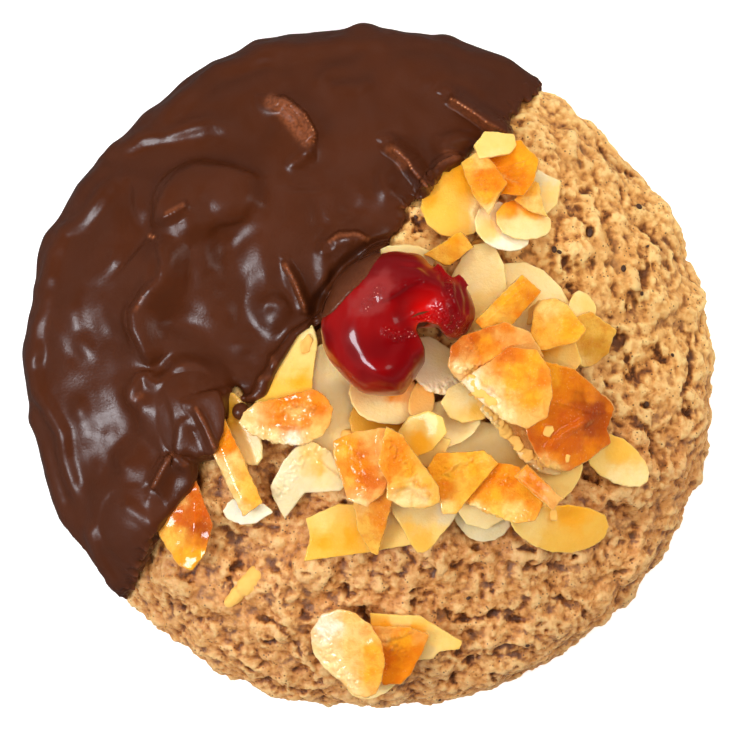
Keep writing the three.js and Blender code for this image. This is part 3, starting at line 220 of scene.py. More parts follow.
# Each almond piece: its record slot, its own tone, and spots of other tones as
# (x, y, radius, tone).
ALMONDS = {
    "flake_smooth_left": ("almond_pale", "white", [(-6, -8, 4, "cream"), (-2, -10, 3, "butter"),
        (-4, 3, 3, "cream")]),
    "flake_broad_heap": ("almond_pale", "cream", [(15, -9, 4, "cream"), (21, -13, 5, "butter")]),
    "flake_broad_right": ("almond_pale", "cream", [(16.4, 10.4, 1.6, "golden"), (22, 11.5, 6, "cream"),
        (21.5, 8.5, 2.5, "butter")]),
    "flake_beside_cherry": ("almond_pale", "cream", [(13, 13, 3, "cream"), (13, 6, 4, "butter")]),
    "flake_over_cherry": ("almond_pale", "cream", [(3, 14, 4, "cream")]),
    "flake_under_heap": ("almond_pale", "cream", [(10, -6.5, 3, "cream")]),
    "flake_below_cherry": ("almond_pale", "beige", [(2, -7, 4, "ochre")]),
    "flake_arc_peach": ("almond_pale", "peach", [(2, -5.5, 3, "cream"), (3, -2.5, 2, "orange")]),
    "flake_narrow": ("almond_pale", "cream", [(6.4, -3, 2, "peach")]),
    "flake_pinkish": ("almond_pale", "pink", [(8, -1.6, 2.4, "pink"), (10.5, 1, 2, "cream")]),
    "flake_heap_edge": ("almond_pale", "butter", [(24, -15, 3, "butter")]),
    "flake_coated_beige": ("almond_pale", "beige", [(-18.4, -5.5, 1.6, "ochre")]),
    "flake_foot": ("almond_pale", "cream", [(-16, -18.6, 3, "white")]),
    "flake_top_round": ("almond_pale", "butter", [(12.5, 25.5, 3, "golden"), (8.2, 22, 1.3, "golden"),
        (10, 21.5, 2.5, "yellow"), (14, 20, 1.6, "cream"), (11, 18.6, 2, "yellow")]),
    "flake_top_grey": ("almond_pale", "beige", [(22.5, 25, 2.5, "clear"), (23.4, 23.4, 2, "butter")]),
    "flake_top_cream": ("almond_pale", "cream", [(15.4, 18, 2, "butter"), (17.5, 16.8, 3, "white")]),
    "flake_top_pale": ("almond_pale", "butter", [(18.4, 21.4, 1.6, "orange"), (20.8, 20.6, 1.4, "golden"),
        (20, 18.4, 2.5, "cream"), (17.2, 21, 1.2, "golden")]),
    "flake_low_clear": ("almond_pale", "clear", [(14, -20.6, 3, "clear")]),
    "flake_long_band": ("almond_pale", "yellow", [(-6, -19.6, 1.4, "butter"), (-4, -20.6, 1.4, "yellow"),
        (-6, -22.2, 1.2, "golden"), (-2.6, -21.4, 1.3, "golden"), (2, -19.4, 1.4, "beige"),
        (3.4, -20.8, 1, "butter"), (5, -21.8, 0.9, "butter"), (-7, -23.8, 1, "yellow")]),
    "flake_tongue": ("almond_pale", "butter", [(4.4, -17.8, 1.4, "beige"), (7, -18.6, 1.6, "beige"),
        (9.8, -18.4, 1.4, "clear"), (5.2, -20, 1.2, "yellow"), (7, -22, 1.4, "yellow"),
        (8.6, -20.6, 1.2, "butter")]),
    "flake_half_moon": ("almond_pale", "yellow", [(21, -20, 3, "butter"), (26, -18.6, 3, "golden"),
        (29, -20.4, 2, "yellow"), (24, -22.4, 3, "yellow")]),
    "flake_oval_right": ("almond_pale", "yellow", [(29.4, -11, 1.8, "butter"), (32.4, -10.6, 2.4, "yellow"),
        (32, -13.6, 1.6, "cream"), (34.6, -14, 1.6, "cream")]),
    "flake_white": ("almond_pale", "white", [(-7.5, -10.6, 1.3, "butter"), (-6.6, -12.4, 1, "yellow"),
        (-10.4, -16.6, 2, "clear"), (-5, -13.4, 1.4, "cream")]),
    "flake_yellow_left": ("almond_pale", "butter", [(-9.4, 2.4, 3, "butter"), (-12.6, -3, 2, "yellow"),
        (-9, -1.6, 1.6, "golden"), (-8, 4.8, 1.2, "cream")]),
    "flake_orange_left": ("almond_golden", "golden", [(-10.6, -3.6, 2.2, "orange"),
        (-7, -4.4, 1.5, "orange"), (-11.8, -6.2, 1.7, "orange"), (-8.4, -6.8, 1.3, "orange"),
        (-9.4, -5.4, 1.2, "butter"), (-15.6, -7, 1.5, "cream"), (-12.6, -8.6, 1.5, "cream"),
        (-9.8, -9, 1.2, "white"), (-7, -8, 1.4, "butter"), (-10.6, -7, 0.8, "toasted")]),
    "stick_left": ("almond_golden", "golden", [(-18.2, -9.4, 1.5, "orange"), (-17.6, -11.4, 0.8, "butter"),
        (-15.6, -14.6, 1.5, "yellow"), (-19.4, -12, 0.8, "cream"), (-18.4, -14.4, 0.9, "cream"),
        (-17.4, -16.8, 0.9, "cream"), (-15.2, -16.2, 0.8, "golden")]),
    "flake_amber": ("almond_toasted", "toasted", [(-23.2, -18.6, 3, "toasted"), (-22, -20.2, 1.6, "brown"),
        (-25.6, -21.6, 1.6, "yellow"), (-23.8, -24.4, 1.8, "golden"), (-26.4, -20.6, 1, "yellow"),
        (-24.6, -17.4, 1.2, "peach"), (-22, -24.4, 1.3, "golden")]),
    "flake_spike": ("almond_golden", "yellow", [(-1, -17.6, 0.9, "peach"), (-0.6, -19.6, 0.9, "yellow"),
        (1.3, -17.2, 0.9, "orange"), (1.1, -19.8, 0.9, "orange"), (0.2, -22.4, 0.8, "yellow")]),
    "stick_by_cherry": ("almond_golden", "golden", [(10.6, 16.8, 1.4, "golden"), (12.4, 16.6, 1, "yellow"),
        (8.6, 15.4, 1.2, "yellow")]),
    "flake_pale_bit": ("almond_pale", "cream", [(28.4, 8.4, 1, "butter")]),
    "flake_ochre": ("almond_golden", "golden", [(28.6, 6, 1.8, "yellow"), (28.8, 3.2, 1.9, "ochre"),
        (27.6, 1.6, 1.2, "butter"), (30.6, 5.2, 0.9, "yellow")]),
    "flake_yellow_low": ("almond_pale", "yellow", [(25, 0.8, 1.5, "butter"), (22.4, 3.6, 1.2, "golden")]),
    "flake_yellow_high": ("almond_golden", "yellow", [(23.4, 7.6, 1.2, "butter"),
        (25.6, 5.4, 1.3, "golden"), (22.4, 5.4, 0.8, "golden"), (24.4, 6.4, 1, "yellow")]),
    "flake_low_middle": ("almond_pale", "butter", []),
    "flake_yellow_middle": ("almond_pale", "yellow", [(8, -7.6, 1.4, "butter"), (5.6, -7, 1.2, "butter"),
        (6.4, -9, 1.4, "golden")]),
    "flake_face_left": ("almond_toasted", "orange", [(-3.6, -10.4, 0.7, "yellow"),
        (-2.6, -10, 0.9, "golden"), (-1.2, -10.6, 1, "toasted"), (-1.8, -12.4, 1, "orange"),
        (-0.4, -12.4, 0.9, "orange"), (-0.6, -13.8, 1, "toasted"), (0.3, -14.8, 0.8, "toasted"),
        (-1.2, -15.4, 0.8, "orange"), (1.5, -9.6, 0.9, "peach"), (1.6, -12, 0.9, "peach"),
        (0.6, -8.2, 0.9, "peach"), (-0.8, -8.4, 0.8, "peach"), (-2.4, -14, 0.6, "yellow"),
        (-1.2, -16.8, 0.8, "cream"), (0.9, -16, 0.7, "peach")]),
    "flake_face_right": ("almond_golden", "yellow", [(2.9, -9.6, 0.9, "orange"), (4, -11, 1, "orange"),
        (2.9, -12.4, 0.9, "orange"), (2.4, -14, 0.8, "orange"), (5, -12.8, 0.9, "golden"),
        (3.8, -14.6, 1, "yellow"), (5.6, -14.6, 0.9, "butter"), (7, -14.8, 0.8, "golden"),
        (4.4, -16.2, 1, "cream"), (6.6, -16.2, 0.9, "cream"), (8, -16.6, 0.8, "yellow"),
        (2.4, -8.6, 0.6, "yellow")]),
    "flake_pale_low": ("almond_pale", "butter", [(14.6, -19.4, 2, "cream")]),
    "flake_glazed": ("almond_golden", "golden", [(15.8, -13.6, 1.1, "orange"), (14, -15.2, 1, "orange"),
        (17.6, -14.6, 1.1, "orange"), (20, -15.8, 1, "golden"), (16, -16.2, 0.9, "golden"),
        (12.6, -16.6, 0.8, "golden"), (13.4, -18, 0.9, "cream"), (16, -18.2, 1, "yellow"),
        (18.6, -18, 1, "butter"), (20.6, -17.4, 0.7, "orange")]),
    "flake_golden": ("almond_golden", "golden", [(9.6, -12.6, 0.9, "golden"), (11.4, -12, 1, "yellow"),
        (13.2, -12.4, 1, "golden"), (14.8, -11.6, 0.8, "yellow"), (10.8, -13.8, 0.8, "golden"),
        (9.4, -15.4, 0.9, "orange"), (9.8, -17.6, 0.8, "butter"), (11.8, -14.4, 0.8, "yellow")]),
    "stick_low": ("almond_golden", "peach", [(20.6, -13.8, 1, "orange"), (21.6, -15, 0.9, "orange"),
        (23, -16.6, 1, "peach"), (19.8, -13.4, 0.6, "golden")]),
    "flake_heap_small": ("almond_pale", "butter", [(12, -3.4, 1.5, "cream"), (13.6, -5, 1.2, "yellow")]),
    "flake_peach_band": ("almond_golden", "peach", [(15.4, -5.6, 1.2, "cream"), (17.4, -7.2, 1.2, "butter"),
        (19.6, -8.4, 1.4, "peach"), (21.4, -10.4, 1.4, "peach"), (20.2, -11.2, 1, "cream"),
        (22.6, -12.8, 1.2, "cream")]),
    "flake_toasted": ("almond_toasted", "toasted", [(23.6, -0.6, 1.2, "golden"), (26, -1.2, 1.2, "orange"),
        (28.6, -3, 1, "orange"), (24.8, -3.2, 1.2, "orange"), (27.4, -4, 0.8, "brown"),
        (29.3, -5.3, 1.5, "brown"), (31, -5, 0.6, "orange"), (25.4, -6, 1.2, "toasted"),
        (28.2, -7.4, 1.2, "brown"), (26.4, -6.6, 0.9, "toasted"), (22.4, -7, 1, "orange"),
        (23.8, -9.4, 1, "toasted"), (26, -9.8, 1.3, "toasted"), (28.6, -10, 0.9, "orange"),
        (24.2, -11.2, 0.9, "orange"), (27, -11.6, 0.8, "orange"), (22.6, -11.8, 0.8, "peach"),
        (23.8, -12.8, 0.8, "butter"), (21.6, -9.2, 0.6, "toasted"), (22.6, -3.6, 0.8, "orange")]),
    "stick_right": ("almond_golden", "yellow", [(19.4, 10.2, 1.3, "golden"), (16, 7, 1.8, "yellow"),
        (21, 9.2, 0.9, "orange"), (19.4, 7.4, 0.8, "orange"), (14.6, 5.6, 0.9, "orange"),
        (17.6, 9, 1.3, "golden")]),
    "flake_ridge": ("almond_toasted", "peach", [(11.2, 2.6, 1.1, "toasted"), (13.2, 4.3, 1.1, "toasted"),
        (15.6, 5.5, 0.9, "toasted"), (17.4, 5.6, 0.8, "orange"), (19.6, 4.6, 1.2, "peach"),
        (16.8, 4.3, 1, "peach"), (14.8, 3.8, 0.9, "golden"), (12.4, 1.6, 0.9, "peach"),
        (14.6, 2.3, 0.9, "orange"), (16.6, 3, 0.8, "orange"), (13.4, 0.9, 0.8, "orange"),
        (15.6, 1.1, 0.6, "yellow"), (11.6, 0.4, 0.9, "cream"), (13.4, -0.2, 0.8, "butter")]),
    "flake_lobe": ("almond_golden", "peach", [(17.6, 2.2, 1.1, "toasted"), (19.4, 1.9, 1.1, "orange"),
        (21.2, 1.4, 1, "golden"), (16.6, 0.4, 1, "orange"), (19.4, -0.2, 1.6, "golden"),
        (22, -1, 1, "orange"), (18.4, -1.8, 1.5, "golden"), (20.6, -3.6, 1.3, "golden"),
        (20.8, -5.8, 1.2, "peach"), (17.2, -2.6, 0.8, "cream"), (15.2, -1.4, 1, "butter"),
        (13.6, -1.6, 0.9, "white"), (15, -3, 0.9, "white"), (16.4, -4.4, 0.9, "cream"),
        (17.4, -6, 0.9, "cream"), (18.8, -4.4, 0.9, "peach")]),
    "flake_top_fragment": ("almond_golden", "yellow", [(20.2, 23.4, 0.9, "golden"),
        (21.6, 21.6, 0.9, "butter")]),
    "flake_top_toasted": ("almond_toasted", "golden", [(16, 27.2, 1.5, "orange"),
        (17.4, 24.6, 1.2, "orange"), (19.6, 27.6, 1.5, "golden"), (18, 26.2, 1.3, "orange"),
        (15.4, 26.6, 0.8, "toasted"), (16.8, 24.2, 0.7, "toasted"), (19.8, 24.2, 0.9, "orange"),
        (18.6, 29, 1, "golden")]),
    "flake_top_spike": ("almond_golden", "golden", [(14.6, 24.6, 1, "orange"), (13, 26.6, 0.8, "yellow"),
        (15, 22.4, 0.9, "golden"), (14, 27.2, 0.8, "butter"), (16.4, 24.4, 0.8, "orange"),
        (15.4, 21, 0.7, "cream")]),
    "flake_top_pale_slab": ("almond_pale", "yellow", [(16, 29.6, 1.8, "butter"), (16, 28, 0.7, "cream")]),
    "flake_base_under": ("almond_pale", "butter", [(1, -42, 1.4, "cream")]),
    "flake_base_point": ("almond_pale", "yellow", [(4, -32.6, 1.8, "butter"), (2, -33.4, 1.2, "golden"),
        (6, -33.8, 1, "golden"), (9, -35, 1.5, "butter"), (7.6, -36.6, 1, "beige")]),
    "flake_base_orange": ("almond_toasted", "orange", [(4.4, -35.6, 1.6, "golden"),
        (4.6, -37.4, 1.6, "orange"), (2.2, -37.6, 1.3, "toasted"), (2.4, -34.2, 0.9, "peach"),
        (5, -36.6, 1.2, "toasted"), (6.2, -34.6, 0.7, "peach"), (2, -39.6, 0.9, "orange")]),
    "flake_base_cream": ("almond_golden", "peach", [(-5.4, -33.6, 1.6, "white"),
        (-5.6, -36.6, 1.6, "cream"), (-2.6, -32.6, 1.5, "butter"), (-2.4, -36, 1.8, "butter"),
        (0, -36.4, 1.6, "golden"), (0, -39, 1.5, "golden"), (-3, -40, 1.3, "cream"),
        (-1, -33.6, 1.2, "peach")]),
}

# Slices whose walls reach out further than the others', in mm, over the gaps in the heap.
WIDER = {
    "flake_top_spike": 0.75, "flake_top_toasted": 0.6, "flake_top_pale_slab": 0.5,
    "flake_top_fragment": 0.5, "flake_face_left": 0.55, "flake_face_right": 0.55, "flake_lobe": 0.5,
    "flake_toasted": 0.45, "flake_ridge": 0.5, "flake_yellow_high": 0.7, "flake_ochre": 0.5,
    "flake_yellow_low": 0.7, "flake_golden": 0.6, "flake_glazed": 0.6, "flake_heap_small": 0.7,
    "flake_peach_band": 0.5, "flake_yellow_middle": 0.6, "flake_low_middle": 0.7, "flake_pinkish": 0.6,
    "flake_arc_peach": 0.6, "flake_narrow": 0.5, "flake_below_cherry": 0.6, "flake_pale_low": 0.6,
    "flake_yellow_left": 0.5, "flake_base_orange": 0.5, "flake_base_cream": 0.4,
}

# Small bits of almond: middle in plan with its lift over what lies there, size, heading, pitch, tone.
CHIPS = [
    ((23.2, -7.8, 0.1), (1.5, 1.1, 0.6), 40, 6, "peach"),
    ((25, -11.4, -0.1), (1.7, 1.3, 0.5), 10, 0, "pink"),
    ((23.7, -18.4, 0.1), (2.2, 0.9, 0.7), -72, 12, "golden"),
    ((13.9, 16.4, 0.2), (2.8, 0.9, 0.7), 22, 4, "cream"), ((-4.4, -12.4, 0), (2, 3, 1), 10, 0, "cream"),
    ((21.4, 7.4, 0.2), (3.2, 1.6, 1.1), 62, 0, "golden"), ((-8.2, 3.4, 0), (2.4, 1.4, 0.6), 70, 0, "cream"),
]

# Rounder bits that the dough half covers, in the same terms.
BURIED = [
    ((-17.4, -29.2, -0.1), (3.8, 1.9, 1.7), 48, 0, "crust"),
    ((-15.4, -27.2, -0.3), (5, 2.8, 1.8), 50, 0, "crust"),
    ((-2.8, -8.3, 0.3), (2, 1.6, 1.6), 10, 0, "golden"),
]

# Creases that stand on the almonds: node, line in plan, rise, fall to the left and right.
SLICE_CRESTS = {
    "stick_left": [([(-19.6, -8.6), (-18.4, -12), (-16.7, -15.9), (-16, -17.8)], 0.6, 2.2, 1.3)],
    "stick_right": [([(14.4, 5.6), (17.6, 8.8), (20.6, 11.4)], 0.5, 0.8, 2)],
    "flake_ridge": [([(11.4, -0.2), (14, 0.9), (16.4, 1.8), (17.8, 2.6)], 0.8, 1.1, 0.6), ([(12.4, 4.4),
        (13.4, 3), (14, 1.8)], 0.35, 0.5, 0.7)],
    "flake_face_left": [([(1.8, -8.2), (1.9, -11), (1.6, -14.4)], 0.7, 0.8, 1.2)],
    "flake_face_right": [([(2.4, -15.4), (5, -14.6), (8, -16.6)], 0.5, 0.7, 0.9)],
    "flake_top_toasted": [([(14.2, 28.2), (16.4, 25.6), (19.6, 23.6)], 0.45, 0.5, 0.7)],
    "flake_glazed": [([(12, -16.4), (14.4, -14.2), (16.4, -12.8)], 0.45, 0.9, 0.5)],
    "flake_golden": [([(9.6, -13.4), (11, -12), (13.4, -11.4)], 0.3, 0.5, 0.7)],
    "flake_amber": [([(-22.8, -15.6), (-22.8, -20), (-23.2, -24.6)], 0.5, 1.2, 1.6)],
    "flake_orange_left": [([(-12.4, -5.6), (-9.6, -4.2), (-6.4, -4.8)], 0.5, 0.6, 1), ([(-12, -6.8),
        (-9.6, -7.4), (-7, -6.4)], 0.35, 0.6, 0.6)],
    "flake_toasted": [([(23.6, -4), (26.4, -4.6), (28.6, -5.4), (30.6, -5.4)], 0.25, 0.5, 0.5),
        ([(22.6, -10.6), (25, -8.2), (29.4, -5.8)], 0.35, 0.9, 0.9)],
    "flake_white": [([(-7, -11.6), (-5, -13.2), (-3.4, -14.4)], 0.45, 0.5, 0.9)],
    "flake_top_round": [([(13.8, 22), (13.2, 20.4), (13.6, 18.8)], 0.3, 0.9, 0.3)],
    "flake_lobe": [([(13.4, -1.4), (15.6, -2.8), (17.4, -4.4)], 0.4, 0.7, 0.7)],
    "flake_base_orange": [([(1.4, -34.8), (3.8, -34.4), (5.8, -33.6)], 0.35, 0.6, 0.5)],
}

# Slices drawn to an outline of their own: node, middle, corners in plan.
SLICE_OUTLINES = {
    "flake_foot": ((-15.9, -18.3), [(-19.2, -18.3), (-18, -16.6), (-13.8, -17.2), (-12.4, -18.4),
        (-14.6, -19.8), (-16.8, -20.1), (-18.6, -19.3)]),
    "stick_by_cherry": ((10.3, 15.8), [(6.8, 15), (11.8, 18.1), (13.6, 16), (10, 13.4)]),
}

# Crumbly pale crusts at the edge of the heap: line in plan, gap between crumbs, their tones.
CRUSTS = [
    ([(11, -0.6), (13.2, -2.7), (15.4, -5.3), (17.6, -7.5), (20, -10.5), (22.4, -12.3)], 0.6,
        ("white", "cream", "peach")),
    ([(12.6, -1), (14.8, -3.2), (16.8, -5.6)], 0.8, ("cream", "white")),
]

# Rough sugar along the almonds' edges: node, line in plan, width.
SUGAR = {
    "flake_lobe": [([(12.4, -0.6), (14.4, -2.4), (16, -4), (17.6, -6.4)], 1.6), ([(16.4, -2.4),
        (18.2, -2.8)], 1)],
    "flake_peach_band": [([(14.8, -5.6), (17.4, -8), (19.6, -10.8), (22, -12.8)], 1)],
    "flake_toasted": [([(22, -11.6), (24.4, -12.8)], 1.2), ([(22.6, -7), (23.6, -9)], 0.7)],
    "flake_ridge": [([(10.8, 0.6), (12.6, -0.2), (14.6, 0.4)], 1.2), ([(12.4, 3.2), (13.6, 2.2)], 0.5)],
    "flake_orange_left": [([(-15.8, -7.6), (-12, -9), (-8, -9)], 1.4), ([(-12, -5), (-8, -5)], 2)],
    "flake_white": [([(-12, -16), (-8.6, -11), (-5.6, -10)], 1.4)],
    "flake_glazed": [([(12.6, -17), (16, -18.8), (20.6, -18.4)], 1.2), ([(14, -14.6), (18, -13.6)], 1)],
    "flake_golden": [([(9.4, -13.4), (11.6, -12), (15.4, -11.4)], 1.2)],
    "flake_face_left": [([(-3.6, -9.4), (-1.6, -11.6), (-1, -15.6)], 1.2)],
    "flake_face_right": [([(2, -8.4), (3.6, -11), (6.4, -15)], 1.2)],
    "flake_top_toasted": [([(14.4, 28), (17, 25), (20, 27)], 1.2)],
    "flake_top_spike": [([(13.4, 27), (14.6, 24), (15.6, 21)], 0.9)],
    "flake_pinkish": [([(6.6, -2.6), (9.4, -2.8), (11.6, -1)], 1.6)],
    "flake_base_cream": [([(-6.4, -34), (-5, -38), (-2, -41)], 1.4)],
    "flake_base_orange": [([(1.6, -35), (4, -36.6)], 1.2)],
}

# The cherry: the high rim of the cup, the hollow that the stone left, creases in its skin,
# and the torn corners that stick out of it.
CHERRY_RIM = ([(5.4, -1.0), (2.4, -1.4), (-0.4, 0.2), (-2.2, 3.2), (-2.0, 6.6), (-0.2, 9.6), (2.8, 11.6),
               (6.2, 12), (9.2, 10.8), (11, 8.4), (11.4, 6)], 0.5, 4.0, 3.2)
CHERRY_MIDDLE = (3.6, 6.6)
CHERRY_HOLLOWS = [
    ((6.2, 7.6), (8.6, 6.4), 25, -1.7), ((3.4, 3.6), (2.4, 5), -40, -0.35), ((1.8, -0.6), (7, 5), -30, 0.9),
]
CHERRY_CREASES = [
    ([(9.2, 13.2), (9.8, 11.4), (10, 9.6)], -0.3, 0.5, 0.8),
    ([(10.6, 11.8), (10.8, 9.4), (11.6, 7.2)], 0.25, 0.3, 0.7),
    ([(11.8, 11.2), (12.4, 9.2), (12.4, 7)], -0.2, 0.5, 0.5),
    ([(9.4, 8.6), (10.2, 7.2), (10, 5.6)], 0.25, 0.5, 0.5),
    ([(0.8, 8.8), (2.4, 9.4), (4.8, 11), (7.4, 12)], 0.45, 2, 0.5),
    ([(1.8, 5.4), (3.6, 4.5), (5.6, 5.2)], 0.35, 0.6, 0.5),
    ([(5.4, 6.2), (6.4, 6.4), (7.6, 6.5), (8.8, 6)], 0.35, 0.4, 0.4),
    ([(3.4, 13.6), (6.4, 13.4), (8.2, 12)], -0.2, 0.6, 0.5),
]
CHERRY_SUGAR = [
    ([(8.8, 7.8), (10, 6.2), (12.2, 5.4)], 2), ([(6.2, 7), (8.6, 7)], 0.8),
    ([(2, 5.2), (3.4, 4.2), (5.6, 4.8)], 1), ([(-0.8, 8), (0.2, 9.2), (1.4, 10.6)], 1),
    ([(10, 12), (10.6, 9.6)], 0.8),
]
# The torn corners: middle, length, width, thickness, heading, and how far up they point.
CHERRY_TEARS = [
    ((10.2, 13.1, 1.6), 3.6, 1.5, 0.7, -28, 8), ((9.3, 13, 2.2), 2.4, 1, 0.7, 112, 24),
    ((12.6, 11.6, 0.8), 3, 1.2, 0.8, -48, -10), ((6, 4.9, -1), 1.8, 1.2, 1, 20, 0),
    ((11.6, 4.9, -0.6), 3.4, 1.6, 1.4, 12, 0), ((9.7, 5.4, -0.6), 2, 1.2, 1, -40, 10),
]
# The cherry's outline from above, from the right side of its opening round to the left side.
CHERRY_OUTLINE = [
    (12.8, 4.5), (13.7, 7), (13.4, 10), (12, 12.2), (9.4, 13.6), (6.4, 15), (3.6, 15.5), (0.4, 14.9),
    (-2, 13.4), (-4.2, 11.2), (-5.6, 8.6), (-6.4, 6), (-6.1, 3), (-5, 0.8), (-3.2, -1.3), (-0.6, -3.2),
    (1.8, -3.7), (4.2, -3.2), (6.2, -1.5), (7.1, 0), (7.3, 1.4),
]
# Flesh that fills the cup: middle and size.
CHERRY_LUMPS = [((7.2, 7.6, 0.2), (6.6, 4.4, 8.0)), ((5.0, 7.6, 0.2), (4.6, 4.8, 8.0))]
CAP_EDGE = [
    (-7.2, 6.2), (-5.3, 7.2), (-4.6, 7.7), (-3, 9.5), (-1.6, 11), (-0.3, 12.3), (0.4, 13.5), (1.4, 14.7),
    (2.2, 16.4),
]

# The drop of chocolate at the dip line.
DROP = (-16.7, -5.3)

# Hollows in the dough: middle, size, heading, depth.
DOUGH_PITS = [
    ((25.8, 13.9), (2.2, 4), 20, 1.6), ((28.6, 18.3), (2.4, 2.4), 0, 0.8),
    ((28.2, 23.6), (3, 1.8), -20, 0.8), ((31.4, 13.9), (2.2, 1.4), -20, 0.7),
    ((36, -4.3), (2.4, 1.6), 0, 1.5), ((32, 4.2), (4.4, 5), -60, 1.2), ((26.2, 10.6), (2.6, 1.4), -40, 1.2),
    ((33.4, 8.2), (1.8, 2.6), -30, 0.9), ((37.8, 2), (1.6, 3.4), 10, 0.9),
    ((-3, -28.8), (3.8, 2.4), -20, 2.4), ((-1, -31.6), (3, 1.8), -30, 1.8),
    ((6, -28.8), (1.8, 1.2), 0, 1.5), ((8.2, -26.3), (1.7, 2.2), 10, 2.2), ((6.2, -30.6), (3.4, 1.6), 0, 1),
    ((-8.6, -26.3), (3, 1.6), -20, 1.4), ((-5, -27.4), (1.4, 1.2), 0, 1),
    ((-17.4, -25.6), (2.6, 2), 40, 1.2), ((-18.6, -27.8), (1.8, 1.6), 40, 1.1),
    ((-23.6, -26.4), (4, 3), 30, 1.1), ((-8, -31.8), (2.6, 1.4), 20, 1.1),
    ((-13.2, -35.2), (2.4, 1), 0, 0.9), ((-14, -38.2), (2, 1.2), 0, 0.9),
    ((-6.4, -40.6), (2.2, 1.2), 10, 0.9), ((-12.6, -28.2), (1.2, 0.8), -40, 0.8),
    ((22.2, -33.3), (3.6, 2.4), -10, 2), ((24.8, -33.4), (1.8, 1.4), -40, 1.1),
    ((32.8, -26.4), (2.8, 2), -20, 1.5), ((34.6, -25), (1.6, 1.2), 0, 0.9),
    ((26.7, -24.6), (1.6, 1.2), 0, 1.8), ((28.6, -13.8), (3.2, 2.2), -40, 1.5),
    ((25.4, -15.8), (2.4, 1.6), 40, 1.4), ((40.5, -15), (1.6, 1.4), 0, 1),
    ((15.6, -28.1), (1.2, 1.2), 0, 1.1), ((10.1, -31.7), (2.2, 1.6), -20, 1.7),
    ((13, -38), (2, 1.4), 0, 1.5), ((16.4, -40.4), (2.4, 1.2), 0, 1), ((-3.2, -17.2), (2.6, 2.4), 0, 1.6),
    ((-15.8, -8.6), (3.4, 3), 30, 1.2), ((31.4, -17.8), (2.2, 1.6), 60, 0.9),
    ((20.4, -23.2), (3.4, 1.6), -10, 1.1), ((14, -22.8), (2.6, 1.6), 0, 0.9), ((31.2, -2), (2, 2.4), 0, 1),
    ((20.2, 15.2), (2.6, 1.8), 20, 0.9), ((6.2, 19.2), (2.6, 2.4), 40, 1.1), ((18.8, 12.6), (3, 1.6), 0, 1),
]
# Cracks in the dough: line in plan, depth, fall to the left and right.
DOUGH_CRACKS = [
    ([(29.6, 30), (31, 27.8), (33, 26.6), (35, 25)], 0.9, 0.8, 1.2),
    ([(36, 16.6), (35.9, 13), (35.6, 11), (34.6, 9.6), (33.2, 7.2)], 1, 0.8, 1.2),
    ([(35, 19.4), (37, 17.8), (38.5, 15.2), (39.2, 12)], 0.8, 0.8, 1),
    ([(31, 6), (33, 2.2), (34.4, -0.6), (35, -3.4)], 0.9, 1, 1),
    ([(41.6, 5), (41.8, 1), (41, -3.4), (41.6, -7)], 0.7, 0.7, 0.7),
    ([(24.6, 22.8), (26.4, 21.4), (27.8, 19.4)], 0.7, 0.8, 0.8),
    ([(22.2, 29.4), (25.4, 27.4), (28.4, 26.6)], 0.5, 0.8, 0.8),
    ([(33.2, -5.6), (36.6, -8.2), (38.2, -12.4), (37.6, -16)], 0.8, 0.9, 0.9),
    ([(30.6, -22.4), (33.2, -21.4), (36, -21.8)], 0.6, 0.8, 0.8),
    ([(16.4, -24.6), (19.8, -25.6), (23.4, -25), (27, -26.2)], 0.8, 0.8, 0.8),
    ([(9.4, -33), (13.6, -32.2), (17.6, -31.6), (20.6, -33)], 0.8, 0.8, 0.8),
    ([(23.4, -29.6), (27, -30.6), (29.4, -32.4)], 0.7, 0.7, 0.7),
    ([(10, -36.6), (14.4, -37.4), (18.4, -36.4), (22.6, -37.6)], 0.8, 0.8, 0.8),
    ([(-19.4, -36.6), (-15.4, -39.6), (-11, -41.6), (-5, -42.6)], 0.8, 0.8, 0.8),
    ([(-28.4, -27.4), (-26, -30.4), (-22.4, -32.4), (-18.4, -32.6)], 0.7, 0.9, 0.9),
    ([(-15.6, -31.6), (-12.4, -32.8), (-9.6, -35.4), (-9, -38.4)], 0.8, 0.8, 0.8),
    ([(-13.6, -24.4), (-10.6, -27.6), (-11.6, -30.4)], 0.7, 0.9, 0.7),
    ([(-20.6, -20.4), (-17.2, -21.8), (-14.6, -20), (-10.8, -20.6)], 0.9, 0.9, 0.9),
    ([(-13.4, -11.4), (-12.6, -14.8), (-14, -18.6)], 0.8, 0.9, 0.9),
    ([(0.4, -26.4), (3.6, -27), (5, -25)], 0.7, 0.8, 0.8),
]

# Dark seeds and grains in the dough: place in plan, length, width, heading.
SEEDS = [
    ((28.6, 17.9), (1.5, 0.9), -50), ((33, 13.3), (1.1, 0.8), -60), ((35.1, 21.4), (1.1, 0.8), 20),
    ((35.4, 10), (0.7, 0.5), 30), ((23.9, 15.7), (1.1, 0.8), -40), ((24.6, 15.4), (0.8, 0.6), 30),
    ((36.2, 16.2), (0.6, 0.4), 80), ((30.9, 16.2), (0.7, 0.35), 10), ((36, -4.4), (1, 0.8), 60),
    ((20.5, -35.8), (0.9, 0.7), 10), ((9.1, -43.1), (0.7, 0.4), 70), ((-31.2, -26), (0.8, 0.6), 20),
    ((39.4, 2), (0.7, 0.5), 40), ((6, 19.9), (0.7, 0.5), 0), ((12.8, -29.6), (0.8, 0.6), 20),
]

# ---------------------------------------------------------------- modelling


def only(piece):
    """Selects one piece and nothing else."""
    bpy.ops.object.select_all(action="DESELECT")
    piece.select_set(True)
    bpy.context.view_layer.objects.active = piece


def finish_with(piece, kind, **settings):
    """Adds a modifier and applies it at once."""
    only(piece)
    modifier = piece.modifiers.new(kind.lower(), kind)
    for name, value in settings.items():
        setattr(modifier, name, value)
    bpy.ops.object.modifier_apply(modifier=modifier.name)


